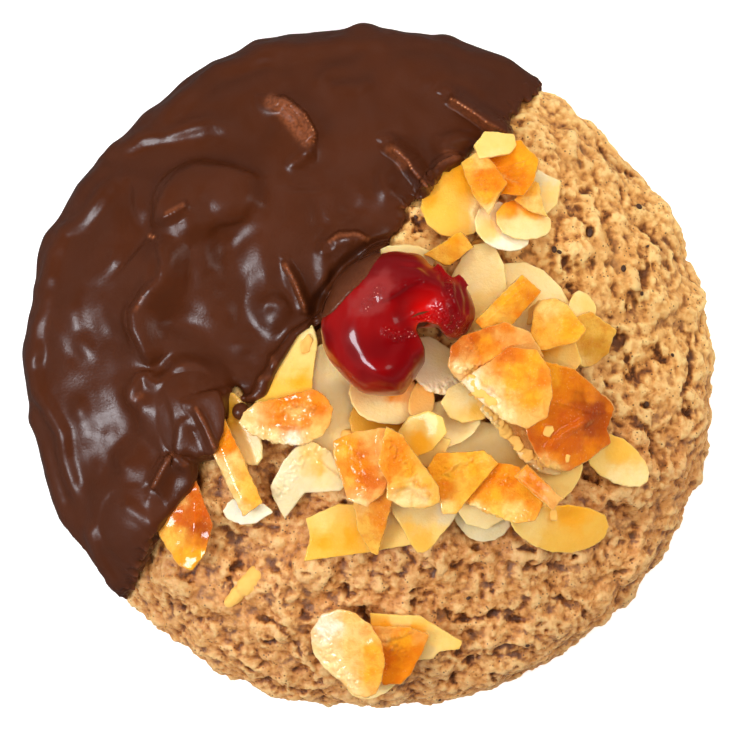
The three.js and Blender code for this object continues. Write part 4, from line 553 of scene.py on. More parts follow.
def copy_of(node, name):
    """A copy of a solid of the frame with its loose triangles merged."""
    piece = bpy.data.objects.new(name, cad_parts[node].data.copy())
    bpy.context.scene.collection.objects.link(piece)
    piece.data.materials.clear()
    only(piece)
    bpy.ops.object.mode_set(mode="EDIT")
    bpy.ops.mesh.select_all(action="SELECT")
    bpy.ops.mesh.remove_doubles(threshold=0.002 * MM)
    bpy.ops.object.mode_set(mode="OBJECT")
    return piece


def add_ball(segments, rings, **place):
    """A ball 1 mm across that its scale turns into the size wanted."""
    bpy.ops.mesh.primitive_uv_sphere_add(segments=segments, ring_count=rings, radius=0.5 * MM, **place)
    return bpy.context.active_object


def joined(parts, name):
    """One piece made of several, with their places in its mesh."""
    only(parts[0])
    for part in parts:
        part.select_set(True)
    bpy.ops.object.join()
    bpy.ops.object.transform_apply(location=True, rotation=True, scale=True)
    parts[0].name = name
    return parts[0]


def remesh(piece, voxel):
    finish_with(piece, "REMESH", mode="VOXEL", voxel_size=voxel * MM, use_smooth_shade=True)


def smooth(piece, times):
    finish_with(piece, "SMOOTH", factor=0.5, iterations=times)


def places(piece):
    """The vertices' places in mm, one row each."""
    flat = np.zeros(len(piece.data.vertices) * 3, np.float32)
    piece.data.vertices.foreach_get("co", flat)
    return flat.reshape(-1, 3).astype(float) / MM


def directions(piece):
    """The vertices' normals, one row each."""
    flat = np.zeros(len(piece.data.vertices) * 3, np.float32)
    piece.data.vertices.foreach_get("normal", flat)
    return flat.reshape(-1, 3).astype(float)


def ramped(low, high, values):
    """0 below low, 1 above high, with a smooth rise between."""
    share = np.clip((values - low) / (high - low), 0, 1)
    return share * share * (3 - 2 * share)


def weigh(piece, name, weights):
    """A vertex group that holds the given weights, from 0 to 1."""
    group = piece.vertex_groups.new(name=name)
    for index in np.flatnonzero(weights > 0.002):
        group.add([int(index)], float(weights[index]), "REPLACE")
    return name


def brush(piece, amounts, direction="NORMAL"):
    """Raises or sinks each vertex by its own amount in mm."""
    for sign in (1, -1):
        part = np.clip(amounts * sign, 0, None)
        if part.max() > 0.001:
            group = weigh(piece, "brush", part / part.max())
            finish_with(piece, "DISPLACE", vertex_group=group, direction=direction,
                        strength=sign * part.max() * MM, mid_level=0.0)
            piece.vertex_groups.remove(piece.vertex_groups[group])


def grain(span, depth, hard=False, basis="ORIGINAL_PERLIN"):
    """A procedural pattern whose features are span mm wide; hard ones have creases."""
    pattern = bpy.data.textures.new(f"grain_{span}", "CLOUDS")
    pattern.noise_scale = span * MM
    pattern.noise_depth = depth
    pattern.noise_basis = basis
    pattern.noise_type = "HARD_NOISE" if hard else "SOFT_NOISE"
    return pattern


def roughen(piece, pattern, depth, middle=0.5, group="", direction="NORMAL"):
    """Moves the surface by a pattern, by depth mm from its lowest to its highest."""
    finish_with(piece, "DISPLACE", texture=pattern, strength=depth * MM, mid_level=middle,
                vertex_group=group, direction=direction, texture_coords="LOCAL")


def stations(line, gap=0.45):
    """Even stops along a line of corners: their places, the left-hand directions, the share done."""
    stops, lefts, done = [], [], []
    travelled = 0.0
    for start, end in zip(line, line[1:]):
        length = math.dist(start, end)
        way = np.subtract(end, start) / length
        for step in np.arange(0.5 * gap, length, gap):
            stops.append(np.add(start, step * way))
            lefts.append((-way[1], way[0]))
            done.append(travelled + step)
        travelled += length
    return np.array(stops), np.array(lefts), np.array(done) / travelled


def from_line(plan, line):
    """Each point's distance from a line, how far to its left it lies, and its share of the way."""
    stops, lefts, done = stations(line)
    gaps = plan[:, None, :] - stops[None, :, :]
    reach = np.hypot(gaps[..., 0], gaps[..., 1])
    pull = 1 / (reach ** 4 + 0.01)
    pull /= pull.sum(axis=1, keepdims=True)
    left = (pull * np.einsum("ijk,jk->ij", gaps, lefts)).sum(axis=1)
    return reach.min(axis=1), left, pull @ done


def near(plan, line, reach):
    """Which points can be within reach of a line."""
    low, high = np.min(line, axis=0) - reach, np.max(line, axis=0) + reach
    return np.flatnonzero(np.all((plan > low) & (plan < high), axis=1))


def crest(plan, line, rise, left, right):
    """A fold along a line, which fades out at both ends."""
    heights = np.zeros(len(plan))
    close = near(plan, line, max(left, right))
    distance, side, share = from_line(plan[close], line)
    falls = [1 - ramped(0, 1, distance / width) for width in (right, left)]
    fall = falls[0] + ramped(-0.3, 0.3, side) * (falls[1] - falls[0])
    heights[close] = rise * fall * ramped(0, 0.16, share) * ramped(0, 0.16, 1 - share)
    return heights


def bump(plan, at, size, heading, rise):
    """A soft round rise or hollow."""
    turn = math.radians(heading)
    gap = plan - at
    along = gap[:, 0] * math.cos(turn) + gap[:, 1] * math.sin(turn)
    across = gap[:, 1] * math.cos(turn) - gap[:, 0] * math.sin(turn)
    return rise * (1 - ramped(0, 1, np.hypot(2 * along / size[0], 2 * across / size[1])))


def lean(plan, at, size, heading, slope):
    """A patch that leans towards the left and a little down."""
    return slope * bump(plan, at, size, heading, 1.0) * ((plan - at) @ (0.94, 0.34))


def drawn(shape, plan, table):
    """What all of a table's crests, bumps or leaning patches add up to at each point."""
    return sum(shape(plan, *each) for each in table)


def far_from(plan, line, reach):
    """The distance from a line up to reach, and reach beyond that."""
    distances = np.full(len(plan), float(reach))
    close = near(plan, line, reach)
    distances[close] = from_line(plan[close], line)[0]
    return distances


def near_line(plan, line, width):
    """1 on a line, fading to 0 at width mm from it."""
    return 1 - ramped(0.2, 1, far_from(plan, line, width) / width)


def marked(plan, lines):
    """1 on any of some lines, each with its width, fading to 0 beside them."""
    return np.max([near_line(plan, *each) for each in lines], axis=0)


def note(piece, name, values):
    """Keeps a number for each vertex, for the material to read."""
    attribute = piece.data.attributes.new(name, "FLOAT", "POINT")
    attribute.data.foreach_set("value", values.astype(np.float32))


def note_colour(piece, name, colours):
    attribute = piece.data.attributes.new(name, "FLOAT_COLOR", "POINT")
    attribute.data.foreach_set("color", colours.astype(np.float32).ravel())


def spread(piece, values, times):
    """Evens out values between neighbouring vertices."""
    edges = np.zeros(len(piece.data.edges) * 2, np.int32)
    piece.data.edges.foreach_get("vertices", edges)
    a, b = edges[0::2], edges[1::2]
    count = len(values)
    links = np.bincount(a, minlength=count) + np.bincount(b, minlength=count)
    for _ in range(times):
        total = np.bincount(a, values[b], count) + np.bincount(b, values[a], count)
        values = 0.5 * values + 0.5 * total / links
    return values


def standing_out(piece, times):
    """How far each vertex stands out of its surroundings, in mm, along its normal."""
    here = places(piece)
    mean = np.stack([spread(piece, here[:, axis], times) for axis in range(3)], axis=1)
    return np.einsum("ij,ij->i", here - mean, directions(piece))


def select_faces(piece, chosen):
    """Selects faces by their centre and normal: chosen takes two arrays and gives a mask."""
    centres, normals = np.zeros((2, len(piece.data.polygons) * 3), np.float32)
    piece.data.polygons.foreach_get("center", centres)
    piece.data.polygons.foreach_get("normal", normals)
    mask = chosen(centres.reshape(-1, 3) / MM, normals.reshape(-1, 3))
    only(piece)
    bpy.ops.object.mode_set(mode="EDIT")
    bpy.ops.mesh.select_mode(type="FACE")
    bpy.ops.mesh.select_all(action="DESELECT")
    bpy.ops.object.mode_set(mode="OBJECT")
    piece.data.polygons.foreach_set("select", mask)


def in_edit(piece, step, **settings):
    """Runs an edit mode operator on what is selected."""
    only(piece)
    bpy.ops.object.mode_set(mode="EDIT")
    step(**settings)
    bpy.ops.object.mode_set(mode="OBJECT")


def dress(piece, material, slot, *nodes):
    """Gives a piece its finish and its place on the body."""
    piece.data.materials.clear()
    piece.data.materials.append(material)
    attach(piece, "root")
    if nodes:
        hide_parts(*nodes)


# ---------------------------------------------------------------- materials


class Finish:
    """A material in the making. Its short calls add nodes and hand back their output."""

    def __init__(self, name):
        self.material = bpy.data.materials.new(name)
        self.material.use_nodes = True
        self.tree = self.material.node_tree
        self.shader = self.tree.nodes["Principled BSDF"]
        self.place = self.tree.nodes.new("ShaderNodeTexCoord").outputs["Object"]

    def feed(self, socket, value):
        if isinstance(value, bpy.types.NodeSocket):
            self.tree.links.new(value, socket)
        else:
            socket.default_value = value

    def node(self, kind, inputs=(), **settings):
        node = self.tree.nodes.new(kind)
        for name, value in settings.items():
            setattr(node, name, value)
        for name, value in dict(inputs).items():
            self.feed(node.inputs[name], value)
        return node

    def set(self, **values):
        """Sets the shader's own sockets; _ stands for a blank in their names."""
        for name, value in values.items():
            self.feed(self.shader.inputs[name.replace("_", " ")], value)

    def glow_inside(self, weight, scale, radius):
        """Light that goes in and comes out again, in mm."""
        self.set(Subsurface_Weight=weight, Subsurface_Scale=scale * MM, Subsurface_Radius=radius)

    def noise(self, span, detail=3.0, roughness=0.55, distortion=0.0):
        return self.node("ShaderNodeTexNoise", {
            "Vector": self.place, "Scale": 1 / (span * MM), "Detail": detail,
            "Roughness": roughness, "Distortion": distortion}).outputs["Fac"]

    def cells(self, span):
        return self.node("ShaderNodeTexVoronoi", {
            "Vector": self.place, "Scale": 1 / (span * MM)}).outputs["Distance"]

    def read(self, name, output="Fac"):
        return self.node("ShaderNodeAttribute", attribute_name=name).outputs[output]

    def math(self, operation, a, b):
        return self.node("ShaderNodeMath", {0: a, 1: b}, operation=operation).outputs[0]

    def times(self, a, b):
        return self.math("MULTIPLY", a, b)

    def span(self, value, low, high, start=0.0, end=1.0):
        """A value from low to high as one from start to end."""
        return self.node("ShaderNodeMapRange", {
            "Value": value, "From Min": low, "From Max": high, "To Min": start, "To Max": end},
            interpolation_type="SMOOTHSTEP").outputs[0]

    def dots(self, size, low, high, patches, start, end):
        """Dots of a size, in patches."""
        return self.times(self.span(self.cells(size), low, high), self.span(patches, start, end))

    def ramp(self, value, stops):
        ramp = self.node("ShaderNodeValToRGB", {"Fac": value})
        elements = ramp.color_ramp.elements
        while len(elements) < len(stops):
            elements.new(0.5)
        for element, (position, colour) in zip(elements, stops):
            element.position = position
            element.color = colour
        return ramp.outputs["Color"]

    def mix(self, share, a, b, blend="MIX"):
        node = self.node("ShaderNodeMix", data_type="RGBA", blend_type=blend)
        self.feed(node.inputs[0], share)
        self.feed(node.inputs[6], a)
        self.feed(node.inputs[7], b)
        return node.outputs[2]

    def bump(self, height, depth, strength=1.0, normal=None):
        """A relief in the shading, depth mm from its lowest to its highest."""
        inputs = {"Height": height, "Distance": depth * MM, "Strength": strength}
        if normal is not None:
            inputs["Normal"] = normal
        return self.node("ShaderNodeBump", inputs).outputs["Normal"]


def crumb_finish():
    """Baked dough: pale lumps, brown creases with painted shade and a moist purple tinge, painted shade in
    the pits and cracks, spice specks and pores.
    """
    look = Finish("baked_dough")
    unevenness = look.times(look.math("SUBTRACT", look.noise(0.9, 4, 0.6), 0.5), 0.6)
    # the level is high on the lumps and low in the creases: the ramp's dark end is partly the dough's
    # browner creases and partly painted crease shade
    level = look.math("ADD", look.read("crumb_tone_and_crease_shade"), unevenness)
    base = look.ramp(level, [
        (0.0, paint(74, 38, 16)), (0.22, paint(146, 86, 38)), (0.42, paint(206, 142, 72)),
        (0.62, paint(230, 172, 98)), (0.9, paint(246, 206, 134))])
    warm = look.span(look.noise(6.0, 2), 0.5, 0.72)
    base = look.mix(look.times(warm, 0.4), base, paint(220, 156, 84))
    # towards the lower side the colour turns a little greyer and darker, and the surface glossier
    lower = look.span(look.node("ShaderNodeSeparateXYZ", {0: look.place}).outputs["Y"], 6 * MM, -16 * MM)
    base = look.mix(look.times(lower, 0.8), base, look.mix(1.0, base, paint(236, 222, 226), "MULTIPLY"))
    # purple-brown patches that gather in the creases and towards the lower side: partly a moist tint,
    # partly painted crease shade
    damp_and_crease_shade = look.times(look.span(look.noise(2.4, 3), 0.5, 0.64), look.span(level, 0.75, 0.3))
    damp_and_crease_shade = look.times(damp_and_crease_shade, look.span(lower, 0.0, 1.0, 0.45, 1.0))
    base = look.mix(look.times(damp_and_crease_shade, 0.7), base, paint(122, 86, 68))
    # painted shade in the pits and cracks
    base = look.mix(look.times(look.read("pit_shade"), 0.5), base, paint(104, 62, 36))
    spice = look.dots(0.55, 0.34, 0.2, look.noise(1.6, 2), 0.5, 0.6)
    base = look.mix(look.times(spice, 0.6), base, paint(170, 104, 48))
    specks = look.dots(0.62, 0.24, 0.16, look.noise(1.3, 1), 0.51, 0.57)
    base = look.mix(look.times(specks, 0.85), base, paint(72, 42, 26))
    look.glow_inside(0.1, 0.9, (1.0, 0.5, 0.25))
    rough = look.span(look.noise(0.8, 3), 0.35, 0.65, 0.3, 0.58)
    fine = look.bump(look.noise(0.34, 4, 0.65), 0.2, 0.85)
    granules = look.bump(look.cells(0.6), -0.06, 0.7, fine)
    look.set(Base_Color=base, Specular_IOR_Level=0.5, IOR=1.45,
             Roughness=look.math("SUBTRACT", rough, look.times(lower, 0.12)),
             Normal=look.bump(look.noise(0.95, 3), 0.3, 0.7, granules))
    return look.material


def chocolate_finish():
    """Dark coating chocolate, satin, with a soft mottle, thin warm-brown edges that partly paint the light
    on lit crest faces, and a painted highlight along the thinnest crests.
    """
    look = Finish("dark_chocolate")
    base = look.mix(look.noise(9.0, 2), paint(64, 29, 12), paint(80, 37, 16))
    thin = look.times(look.read("thin"), look.span(look.noise(0.5, 3), 0.3, 0.62, 0.35, 1.0))
    base = look.mix(look.math("MINIMUM", thin, 0.75), base, paint(146, 80, 46))
    # painted highlight: a pale warm line where the thin value nears 1, on the crest tops
    base = look.mix(look.span(thin, 0.72, 1.0), base, paint(206, 140, 92))
    look.glow_inside(0.05, 0.8, (1.0, 0.45, 0.25))
    mottle = look.bump(look.noise(0.36, 2, 0.5), 0.03, 0.8)
    look.set(Base_Color=base, IOR=1.48, Specular_IOR_Level=0.36,
             Roughness=look.span(look.noise(2.2, 4), 0.35, 0.7, 0.28, 0.38),
             Normal=look.bump(look.noise(2.6, 2), 0.05, 0.6, mottle))
    return look.material


def almond_finish(name, gloss, grit, inside, stain):
    """Flaked almond: its tone from the piece, paler edges, sugar grains partly painted as glints, and some
    light inside.
    """
    look = Finish(name)
    tone = look.read("tone", "Color")
    cloud = look.span(look.noise(1.4, 4, 0.6, 0.4), 0.35, 0.7)
    tone = look.mix(look.times(cloud, 0.25 + 0.6 * grit), tone, look.mix(1.0, tone, stain, "MULTIPLY"))
    tone = look.mix(look.times(look.read("edge"), 0.2), tone, paint(252, 224, 160))
    # pale dots: partly sugar grains, partly painted glints
    sugar_grains_and_glints = look.dots(0.42, 0.3, 0.14, look.noise(1.8, 2), 0.45, 0.6)
    tone = look.mix(look.times(sugar_grains_and_glints, 0.05 + 0.14 * grit), tone, paint(255, 226, 170))
    look.glow_inside(inside, 0.8, (1.6, 0.9, 0.35))
    sugar = look.bump(look.noise(0.34, 3, 0.65), 0.08 + 0.26 * grit, 0.8)
    look.set(Base_Color=tone, IOR=1.46, Specular_IOR_Level=0.14, Coat_Weight=gloss, Coat_Roughness=0.08,
             Roughness=look.span(look.noise(1.2, 3), 0.35, 0.65, 0.3, 0.5),
             Normal=look.bump(look.noise(1.5, 2), 0.1 + 0.15 * grit, 0.5, sugar))
    return look.material


def cherry_finish():
    """Glace cherry: deep red, clear at its thin edges, wet with syrup and set with sugar, with a painted
    sheen on its upper left shoulder and painted glints on the sugar.
    """
    look = Finish("glace_cherry")
    base = look.mix(look.span(look.noise(6.0, 1), 0.35, 0.65), paint(112, 0, 4), paint(142, 3, 4))
    base = look.mix(look.read("clear"), base, paint(190, 6, 3))
    # painted sheen: a pinkish grey reflection of a soft light, on the upper left shoulder
    base = look.mix(look.read("painted_sheen"), base, paint(142, 50, 48))
    base = look.mix(look.read("thin"), base, paint(196, 66, 6))
    sugar = look.read("sugar")
    # painted glints: small pale pink dots on the sugared parts
    glint = look.times(look.span(look.cells(0.5), 0.24, 0.1), sugar)
    base = look.mix(look.times(glint, 0.5), base, paint(255, 176, 160))
    look.glow_inside(0.2, 2.0, (1.0, 0.02, 0.01))
    sugar_grains_and_glints = look.bump(look.times(look.noise(0.3, 2, 0.6), sugar), 0.35, 0.9)
    look.set(Base_Color=base, IOR=1.45, Specular_IOR_Level=0.16, Roughness=0.3,
             Coat_Weight=0.5, Coat_Roughness=0.07, Normal=look.bump(look.noise(2.0, 2), 0.06, 0.5, sugar_grains_and_glints))
    return look.material


def seed_finish():
    """The seeds' dull dark skin."""
    look = Finish("dark_seed")
    base = look.mix(look.noise(0.4, 3), paint(52, 34, 26), paint(90, 60, 44))
    look.set(Base_Color=base, Roughness=0.4, IOR=1.45, Normal=look.bump(look.noise(0.25, 2), 0.05, 0.8))
    return look.material


# ---------------------------------------------------------------- the pieces


def surfaces(*nodes):
    """Search trees of solids of the frame."""
    meshes = [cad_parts[node].data for node in nodes]
    return [BVHTree.FromPolygons([v.co for v in mesh.vertices], [tuple(p.vertices) for p in mesh.polygons])
            for mesh in meshes]


def from_above(tree, x, y):
    """Where a surface is met from above at a place in plan, and its normal there."""
    return tree.ray_cast(Vector((x, y, ABOVE)) * MM, Vector((0, 0, -1)))[:2]


def top_of(trees, x, y):
    """The height of the highest surface at a place in plan, in metres."""
    hits = [from_above(tree, x, y)[0] for tree in trees]
    return max(hit.z for hit in hits if hit is not None)


def meets(tree, starts, ways, reach):
    """1 where a surface is met within reach mm on the way from each start, otherwise 0."""
    return np.array([tree.ray_cast(Vector(start * MM), Vector(way), reach * MM)[0] is not None
                     for start, way in zip(starts, ways)]).astype(float)


def under_coat(coat, here, out):
    """1 at the points of the dough that the chocolate lies on."""
    return meets(coat, here - COAT_FROM * out, out, COAT_WITHIN)


def make_dough():
    """The dough: lumps, clods, crumbs, pits and cracks where it is bare, plain under the coat."""
    piece = copy_of("dough", "dough_crumb")
    coat = surfaces("chocolate_coat")[0]
    remesh(piece, CRUMB_VOXEL)

    def crumb_shows(centres, normals):
        return (centres[:, 2] > 0.8) & (under_coat(coat, centres, normals) == 0)

    select_faces(piece, lambda centres, normals: ~crumb_shows(centres, normals))
    in_edit(piece, bpy.ops.mesh.decimate, ratio=0.12)
    select_faces(piece, crumb_shows)
    in_edit(piece, bpy.ops.mesh.subdivide, number_cuts=1)
    here, out = places(piece), directions(piece)
    coated = under_coat(coat, here, out)
    bare = spread(piece, (1 - coated) * ramped(0.0, 2.0, here[:, 2]), 3)
    shows = weigh(piece, "shows", bare)
    smooth(piece, 4)
    brush(piece, -0.7 * spread(piece, coated * ramped(0.5, 2.0, here[:, 2]), 5))
    roughen(piece, grain(5.6, 2), 2.2, 0.5, shows)
    roughen(piece, grain(4.6, 1, hard=True), 1.5, 0.3, shows)
    plan = wandering(places(piece)[:, :2])
    worn = drawn(bump, plan, DOUGH_PITS) + drawn(crest, plan, DOUGH_CRACKS)
    brush(piece, -0.65 * worn * bare * ramped(0.0, 0.4, directions(piece)[:, 2]))
    roughen(piece, grain(2.1, 2, hard=True), 0.75, 0.3, shows)
    roughen(piece, grain(0.8, 3), 0.65, 0.5, shows)
    # pale on the lumps and dark in the creases, partly painted crease shade
    fine, broad = standing_out(piece, 10), standing_out(piece, 70)
    note(piece, "crumb_tone_and_crease_shade", np.clip(0.57 + 1.5 * fine + 0.5 * broad, 0, 1))
    # painted shade for the pits and cracks, for the material to read
    note(piece, "pit_shade", np.clip(0.55 * worn, 0, 1))
    piece.vertex_groups.clear()
    dress(piece, crumb_finish(), "dough", "dough")


def make_seeds():
    """Dark seeds pressed into the dough where it shows."""
    dough = surfaces("dough")[0]
    seeds = []
    for at, (length, width), heading in SEEDS:
        place, out = from_above(dough, *at)
        turn = out.to_track_quat("Z", "Y") @ Quaternion((0, 0, 1), math.radians(heading))
        seeds.append(add_ball(14, 9, location=place, rotation=turn.to_euler(),
                              scale=(0.85 * length, 0.85 * width, 0.7 * width)))
    piece = joined(seeds, "dark_seeds")
    bpy.ops.object.shade_smooth()
    roughen(piece, grain(0.5, 1, basis="BLENDER_ORIGINAL"), 0.14)
    dress(piece, seed_finish(), "dough")


def round_the_middle(turns, reach, gap, width):
    """How far the furthest points reach in each direction, at stops gap degrees apart."""
    stops = np.radians(np.arange(-180, 181, gap))
    return stops, [reach[np.abs((turns - stop + np.pi) % (2 * np.pi) - np.pi) < width].max()
                   for stop in stops]


def round_cherry(plan):
    """How far outside the cherry's outline each point lies, in mm."""
    skin = np.array([vertex.co[:2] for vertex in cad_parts["cherry"].data.vertices]) / MM - CHERRY_MIDDLE
    stops, reach = round_the_middle(np.arctan2(skin[:, 1], skin[:, 0]), np.hypot(*skin.T), 15, 0.2)
    gap = plan - CHERRY_MIDDLE
    return np.hypot(*gap.T) - np.interp(np.arctan2(gap[:, 1], gap[:, 0]), stops, reach)


def clear_of_cherry(piece):
    """Cuts the space of the cherry and of its own chocolate cap out of the coat."""
    space = copy_of("cherry", "cherry_space")
    remesh(space, 0.5)
    finish_with(space, "DISPLACE", strength=CHERRY_CLEARANCE * MM, mid_level=0.0)
    finish_with(piece, "BOOLEAN", operation="DIFFERENCE", solver="EXACT", object=space)
    bpy.data.objects.remove(space)


def facing_dough(dough, here, out):
    """1 on the parts of the coat that face the dough close under them."""
    inner = np.zeros(len(here))
    for which, (p, n) in enumerate(zip(here, out)):
        dough_out = dough.find_nearest(Vector(p * MM), DOUGH_WITHIN * MM)[1]
        inner[which] = dough_out is not None and dough_out.dot(Vector(n)) < -0.2
    return inner


def skin_of(piece, dough):
    """1 on the coat's outer side, 0 on the side that lies on the dough."""
    here, out = places(piece), directions(piece)
    upward = ramped(-0.05, 0.3, out[:, 2] + 0.6 * np.hypot(out[:, 0], out[:, 1]))
    over_dough = meets(dough, here, -out, COAT_THICKEST) * (1 - facing_dough(dough, here, out))
    return spread(piece, upward * over_dough, 2)


def raise_hills(piece, dough):
    """Rounds off the coated almonds and lays the chocolate's hills over them."""
    height = places(piece)[:, 2]
    plan = places(piece)[:, :2]
    rounded = np.clip(3 * np.max([bump(plan, *each, 1.0) for each in COAT_ROUNDED], axis=0), 0, 1)
    outside = skin_of(piece, dough)
    raised = height
    for spine, half, top in COAT_HILLS:
        away = np.maximum(from_line(plan, spine)[0] - half, 0)
        raised = np.maximum(raised, top - 0.2 * away - 0.075 * away ** 2)
    raised = raised + rounded * (spread(piece, raised, 90) - raised)
    brush(piece, spread(piece, raised - height, 12) * outside, "Z")
    inner = facing_dough(dough, places(piece), directions(piece))
    brush(piece, COAT_BACKING * inner * ramped(1.2, 2.6, height))


def make_chocolate():
    """The coat: hills and crests over the almonds, a rippled skin, slivers and a ragged edge."""
    piece = copy_of("chocolate_coat", "chocolate_dip")
    dough = surfaces("dough")[0]
    clear_of_cherry(piece)
    remesh(piece, COAT_VOXEL)
    smooth(piece, 14)
    raise_hills(piece, dough)
    remesh(piece, COAT_VOXEL)
    smooth(piece, 10)

    # its broad forms
    plan, facing_up, outside = places(piece)[:, :2], directions(piece)[:, 2], skin_of(piece, dough)
    broad = sum(crest(plan, line, 0.9 * rise, max(left, 1.5), max(right, 1.5))
                for line, rise, left, right in COAT_CRESTS)
    brush(piece, spread(piece, broad + drawn(bump, plan, COAT_BUMPS), 14) * outside)
    plan = places(piece)[:, :2]
    brush(piece, 0.85 * spread(piece, drawn(lean, plan, COAT_LEANS), 16) * outside)
    brush(piece, -1.3 * (1 - ramped(1.1, 2.4, round_cherry(plan))) * ramped(0.0, 0.4, facing_up), "Z")
    roughen(piece, grain(5.4, 1), 1.0, 0.45, weigh(piece, "shows", outside))
    piece.vertex_groups.clear()

    # the fine ones
    select_faces(piece, lambda centres, normals: (normals[:, 2] > 0) & (np.min(
        [far_from(centres[:, :2], line, 2.0) for line, *_ in COAT_SLIVERS], axis=0) < 1.8))
    in_edit(piece, bpy.ops.mesh.subdivide, number_cuts=1)
    plan, up = places(piece)[:, :2], ramped(0.0, 0.4, directions(piece)[:, 2])
    fine = sum(crest(plan, line, 0.6 * rise, left, right) for line, rise, left, right in COAT_CRESTS)
    brush(piece, spread(piece, fine, 3) * up)
    brush(piece, spread(piece, drawn(crest, plan, COAT_SLIVERS), 1) * up, "Z")
    ragged = weigh(piece, "ragged", marked(plan, [(line, 2.4) for line in DIP_EDGES]))
    teeth = grain(1.1, 1)
    roughen(piece, teeth, 2.1, 0.5, ragged, "X")
    roughen(piece, teeth, -2.1, 0.5, ragged, "Y")
    smooth(piece, 1)
    piece.vertex_groups.clear()

    # a coarser mesh where it lies on the dough
    select_faces(piece, lambda centres, normals: facing_dough(dough, centres, normals) > 0)
    in_edit(piece, bpy.ops.mesh.decimate, ratio=0.08)
    plan = places(piece)[:, :2]
    # warm brown on sharp crests where the chocolate runs thin, and the COAT_THIN bands with their painted
    # light and highlight lines
    thin = 0.45 * ramped(0.07, 0.2, standing_out(piece, 4))
    for line, width, strength in COAT_THIN:
        thin = np.maximum(thin, strength * near_line(plan, line, width))
    note(piece, "thin", thin)
    only(piece)
    bpy.ops.object.shade_smooth()
    dress(piece, bpy.data.materials["dark_chocolate"], "chocolate", "chocolate_coat")


def torn_corner(middle, length, width, thickness, heading, pitch):
    """A tapered scrap of the cherry's flesh, that joins it when it is remeshed."""
    bpy.ops.mesh.primitive_cone_add(vertices=10, radius1=0.5 * MM, radius2=0.06 * MM, depth=1 * MM)
    piece = bpy.context.active_object
    piece.scale = (thickness, width, length)
    piece.rotation_euler = (0, math.radians(90 - pitch), math.radians(heading))
    piece.location = Vector(middle) * MM
    bpy.ops.object.transform_apply(location=True, rotation=True, scale=True)
    return piece


def cherry_height():
    """The height of the cherry's middle, in mm."""
    low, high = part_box("cherry")
    return 0.5 * (low[2] + high[2]) / MM


def fit_outline(piece, middle, outline, inner, whole=lambda degrees: 1.0, times=1):
    """Draws a piece's sides out or in to an outline seen from above."""
    gap = places(piece)[:, :2] - middle
    turns, reach = np.arctan2(gap[:, 1], gap[:, 0]), np.hypot(*gap.T)
    own = np.interp(turns, *round_the_middle(turns, reach, 10, 0.1))
    line = stations([*outline, outline[0]], 0.2)[0] - middle
    wanted = np.interp(turns, np.arctan2(line[:, 1], line[:, 0]), np.hypot(*line.T), period=2 * np.pi)
    pull = (wanted - own) * ramped(inner, 0.98, reach / own) * whole(np.degrees(turns))
    pull = spread(piece, pull, times)
    for axis, name in enumerate("XY"):
        brush(piece, pull * gap[:, axis] / np.maximum(reach, 0.01), name)


def shape_cherry(piece, times):
    """Gives the cherry's solid its round sides, but for its opening, its high rim and its hollow."""
    remesh(piece, CHERRY_VOXEL)
    smooth(piece, 22)
    fit_outline(piece, CHERRY_MIDDLE, CHERRY_OUTLINE, 0.5,
                lambda degrees: 1 - ramped(-62, -50, degrees) * (1 - ramped(-16, -8, degrees)), times=24)
    plan = places(piece)[:, :2]
    up = ramped(-0.1, 0.5, directions(piece)[:, 2])
    relief = crest(plan, *CHERRY_RIM) + drawn(bump, plan, CHERRY_HOLLOWS)
    brush(piece, spread(piece, relief * up, 12), "Z")
    smooth(piece, times)


def make_cherry():
    """The cherry with its torn lip, the flesh in its cup, creases and sugar."""
    middle = cherry_height()
    parts = [copy_of("cherry", "glace_cherry")]
    parts += [torn_corner((x, y, middle + z), *rest) for (x, y, z), *rest in CHERRY_TEARS]
    parts += [add_ball(24, 12, scale=size, location=Vector((x, y, middle + z)) * MM)
              for (x, y, z), size in CHERRY_LUMPS]
    piece = joined(parts, "glace_cherry")
    shape_cherry(piece, 12)
    roughen(piece, grain(3.6, 0), 0.3)
    plan = places(piece)[:, :2]
    up = ramped(-0.2, 0.4, directions(piece)[:, 2])
    brush(piece, spread(piece, drawn(crest, plan, CHERRY_CREASES) * up, 2))
    sugar = marked(places(piece)[:, :2], CHERRY_SUGAR) * up
    roughen(piece, grain(0.5, 1), 0.4, 0.55, weigh(piece, "beads", sugar))
    piece.vertex_groups.clear()
    here = places(piece)
    plan, low = here[:, :2], ramped(middle + 1.5, middle - 3.0, here[:, 2])
    note(piece, "sugar", sugar)
    note(piece, "thin", np.clip(0.75 * low + bump(plan, (7.4, 5.4), (4.6, 2.6), 0, 1.0), 0, 1))
    note(piece, "clear", np.clip(bump(plan, (7.2, 8.2), (8, 7), 20, 1.0), 0, 1))
    # painted sheen on the upper left shoulder
    note(piece, "painted_sheen", 0.65 * ramped(0.0, 0.5, bump(wandering(plan), (0.4, 9.6), (11, 5.6), 48, 1.0)))
    dress(piece, cherry_finish(), "cherry", "cherry")


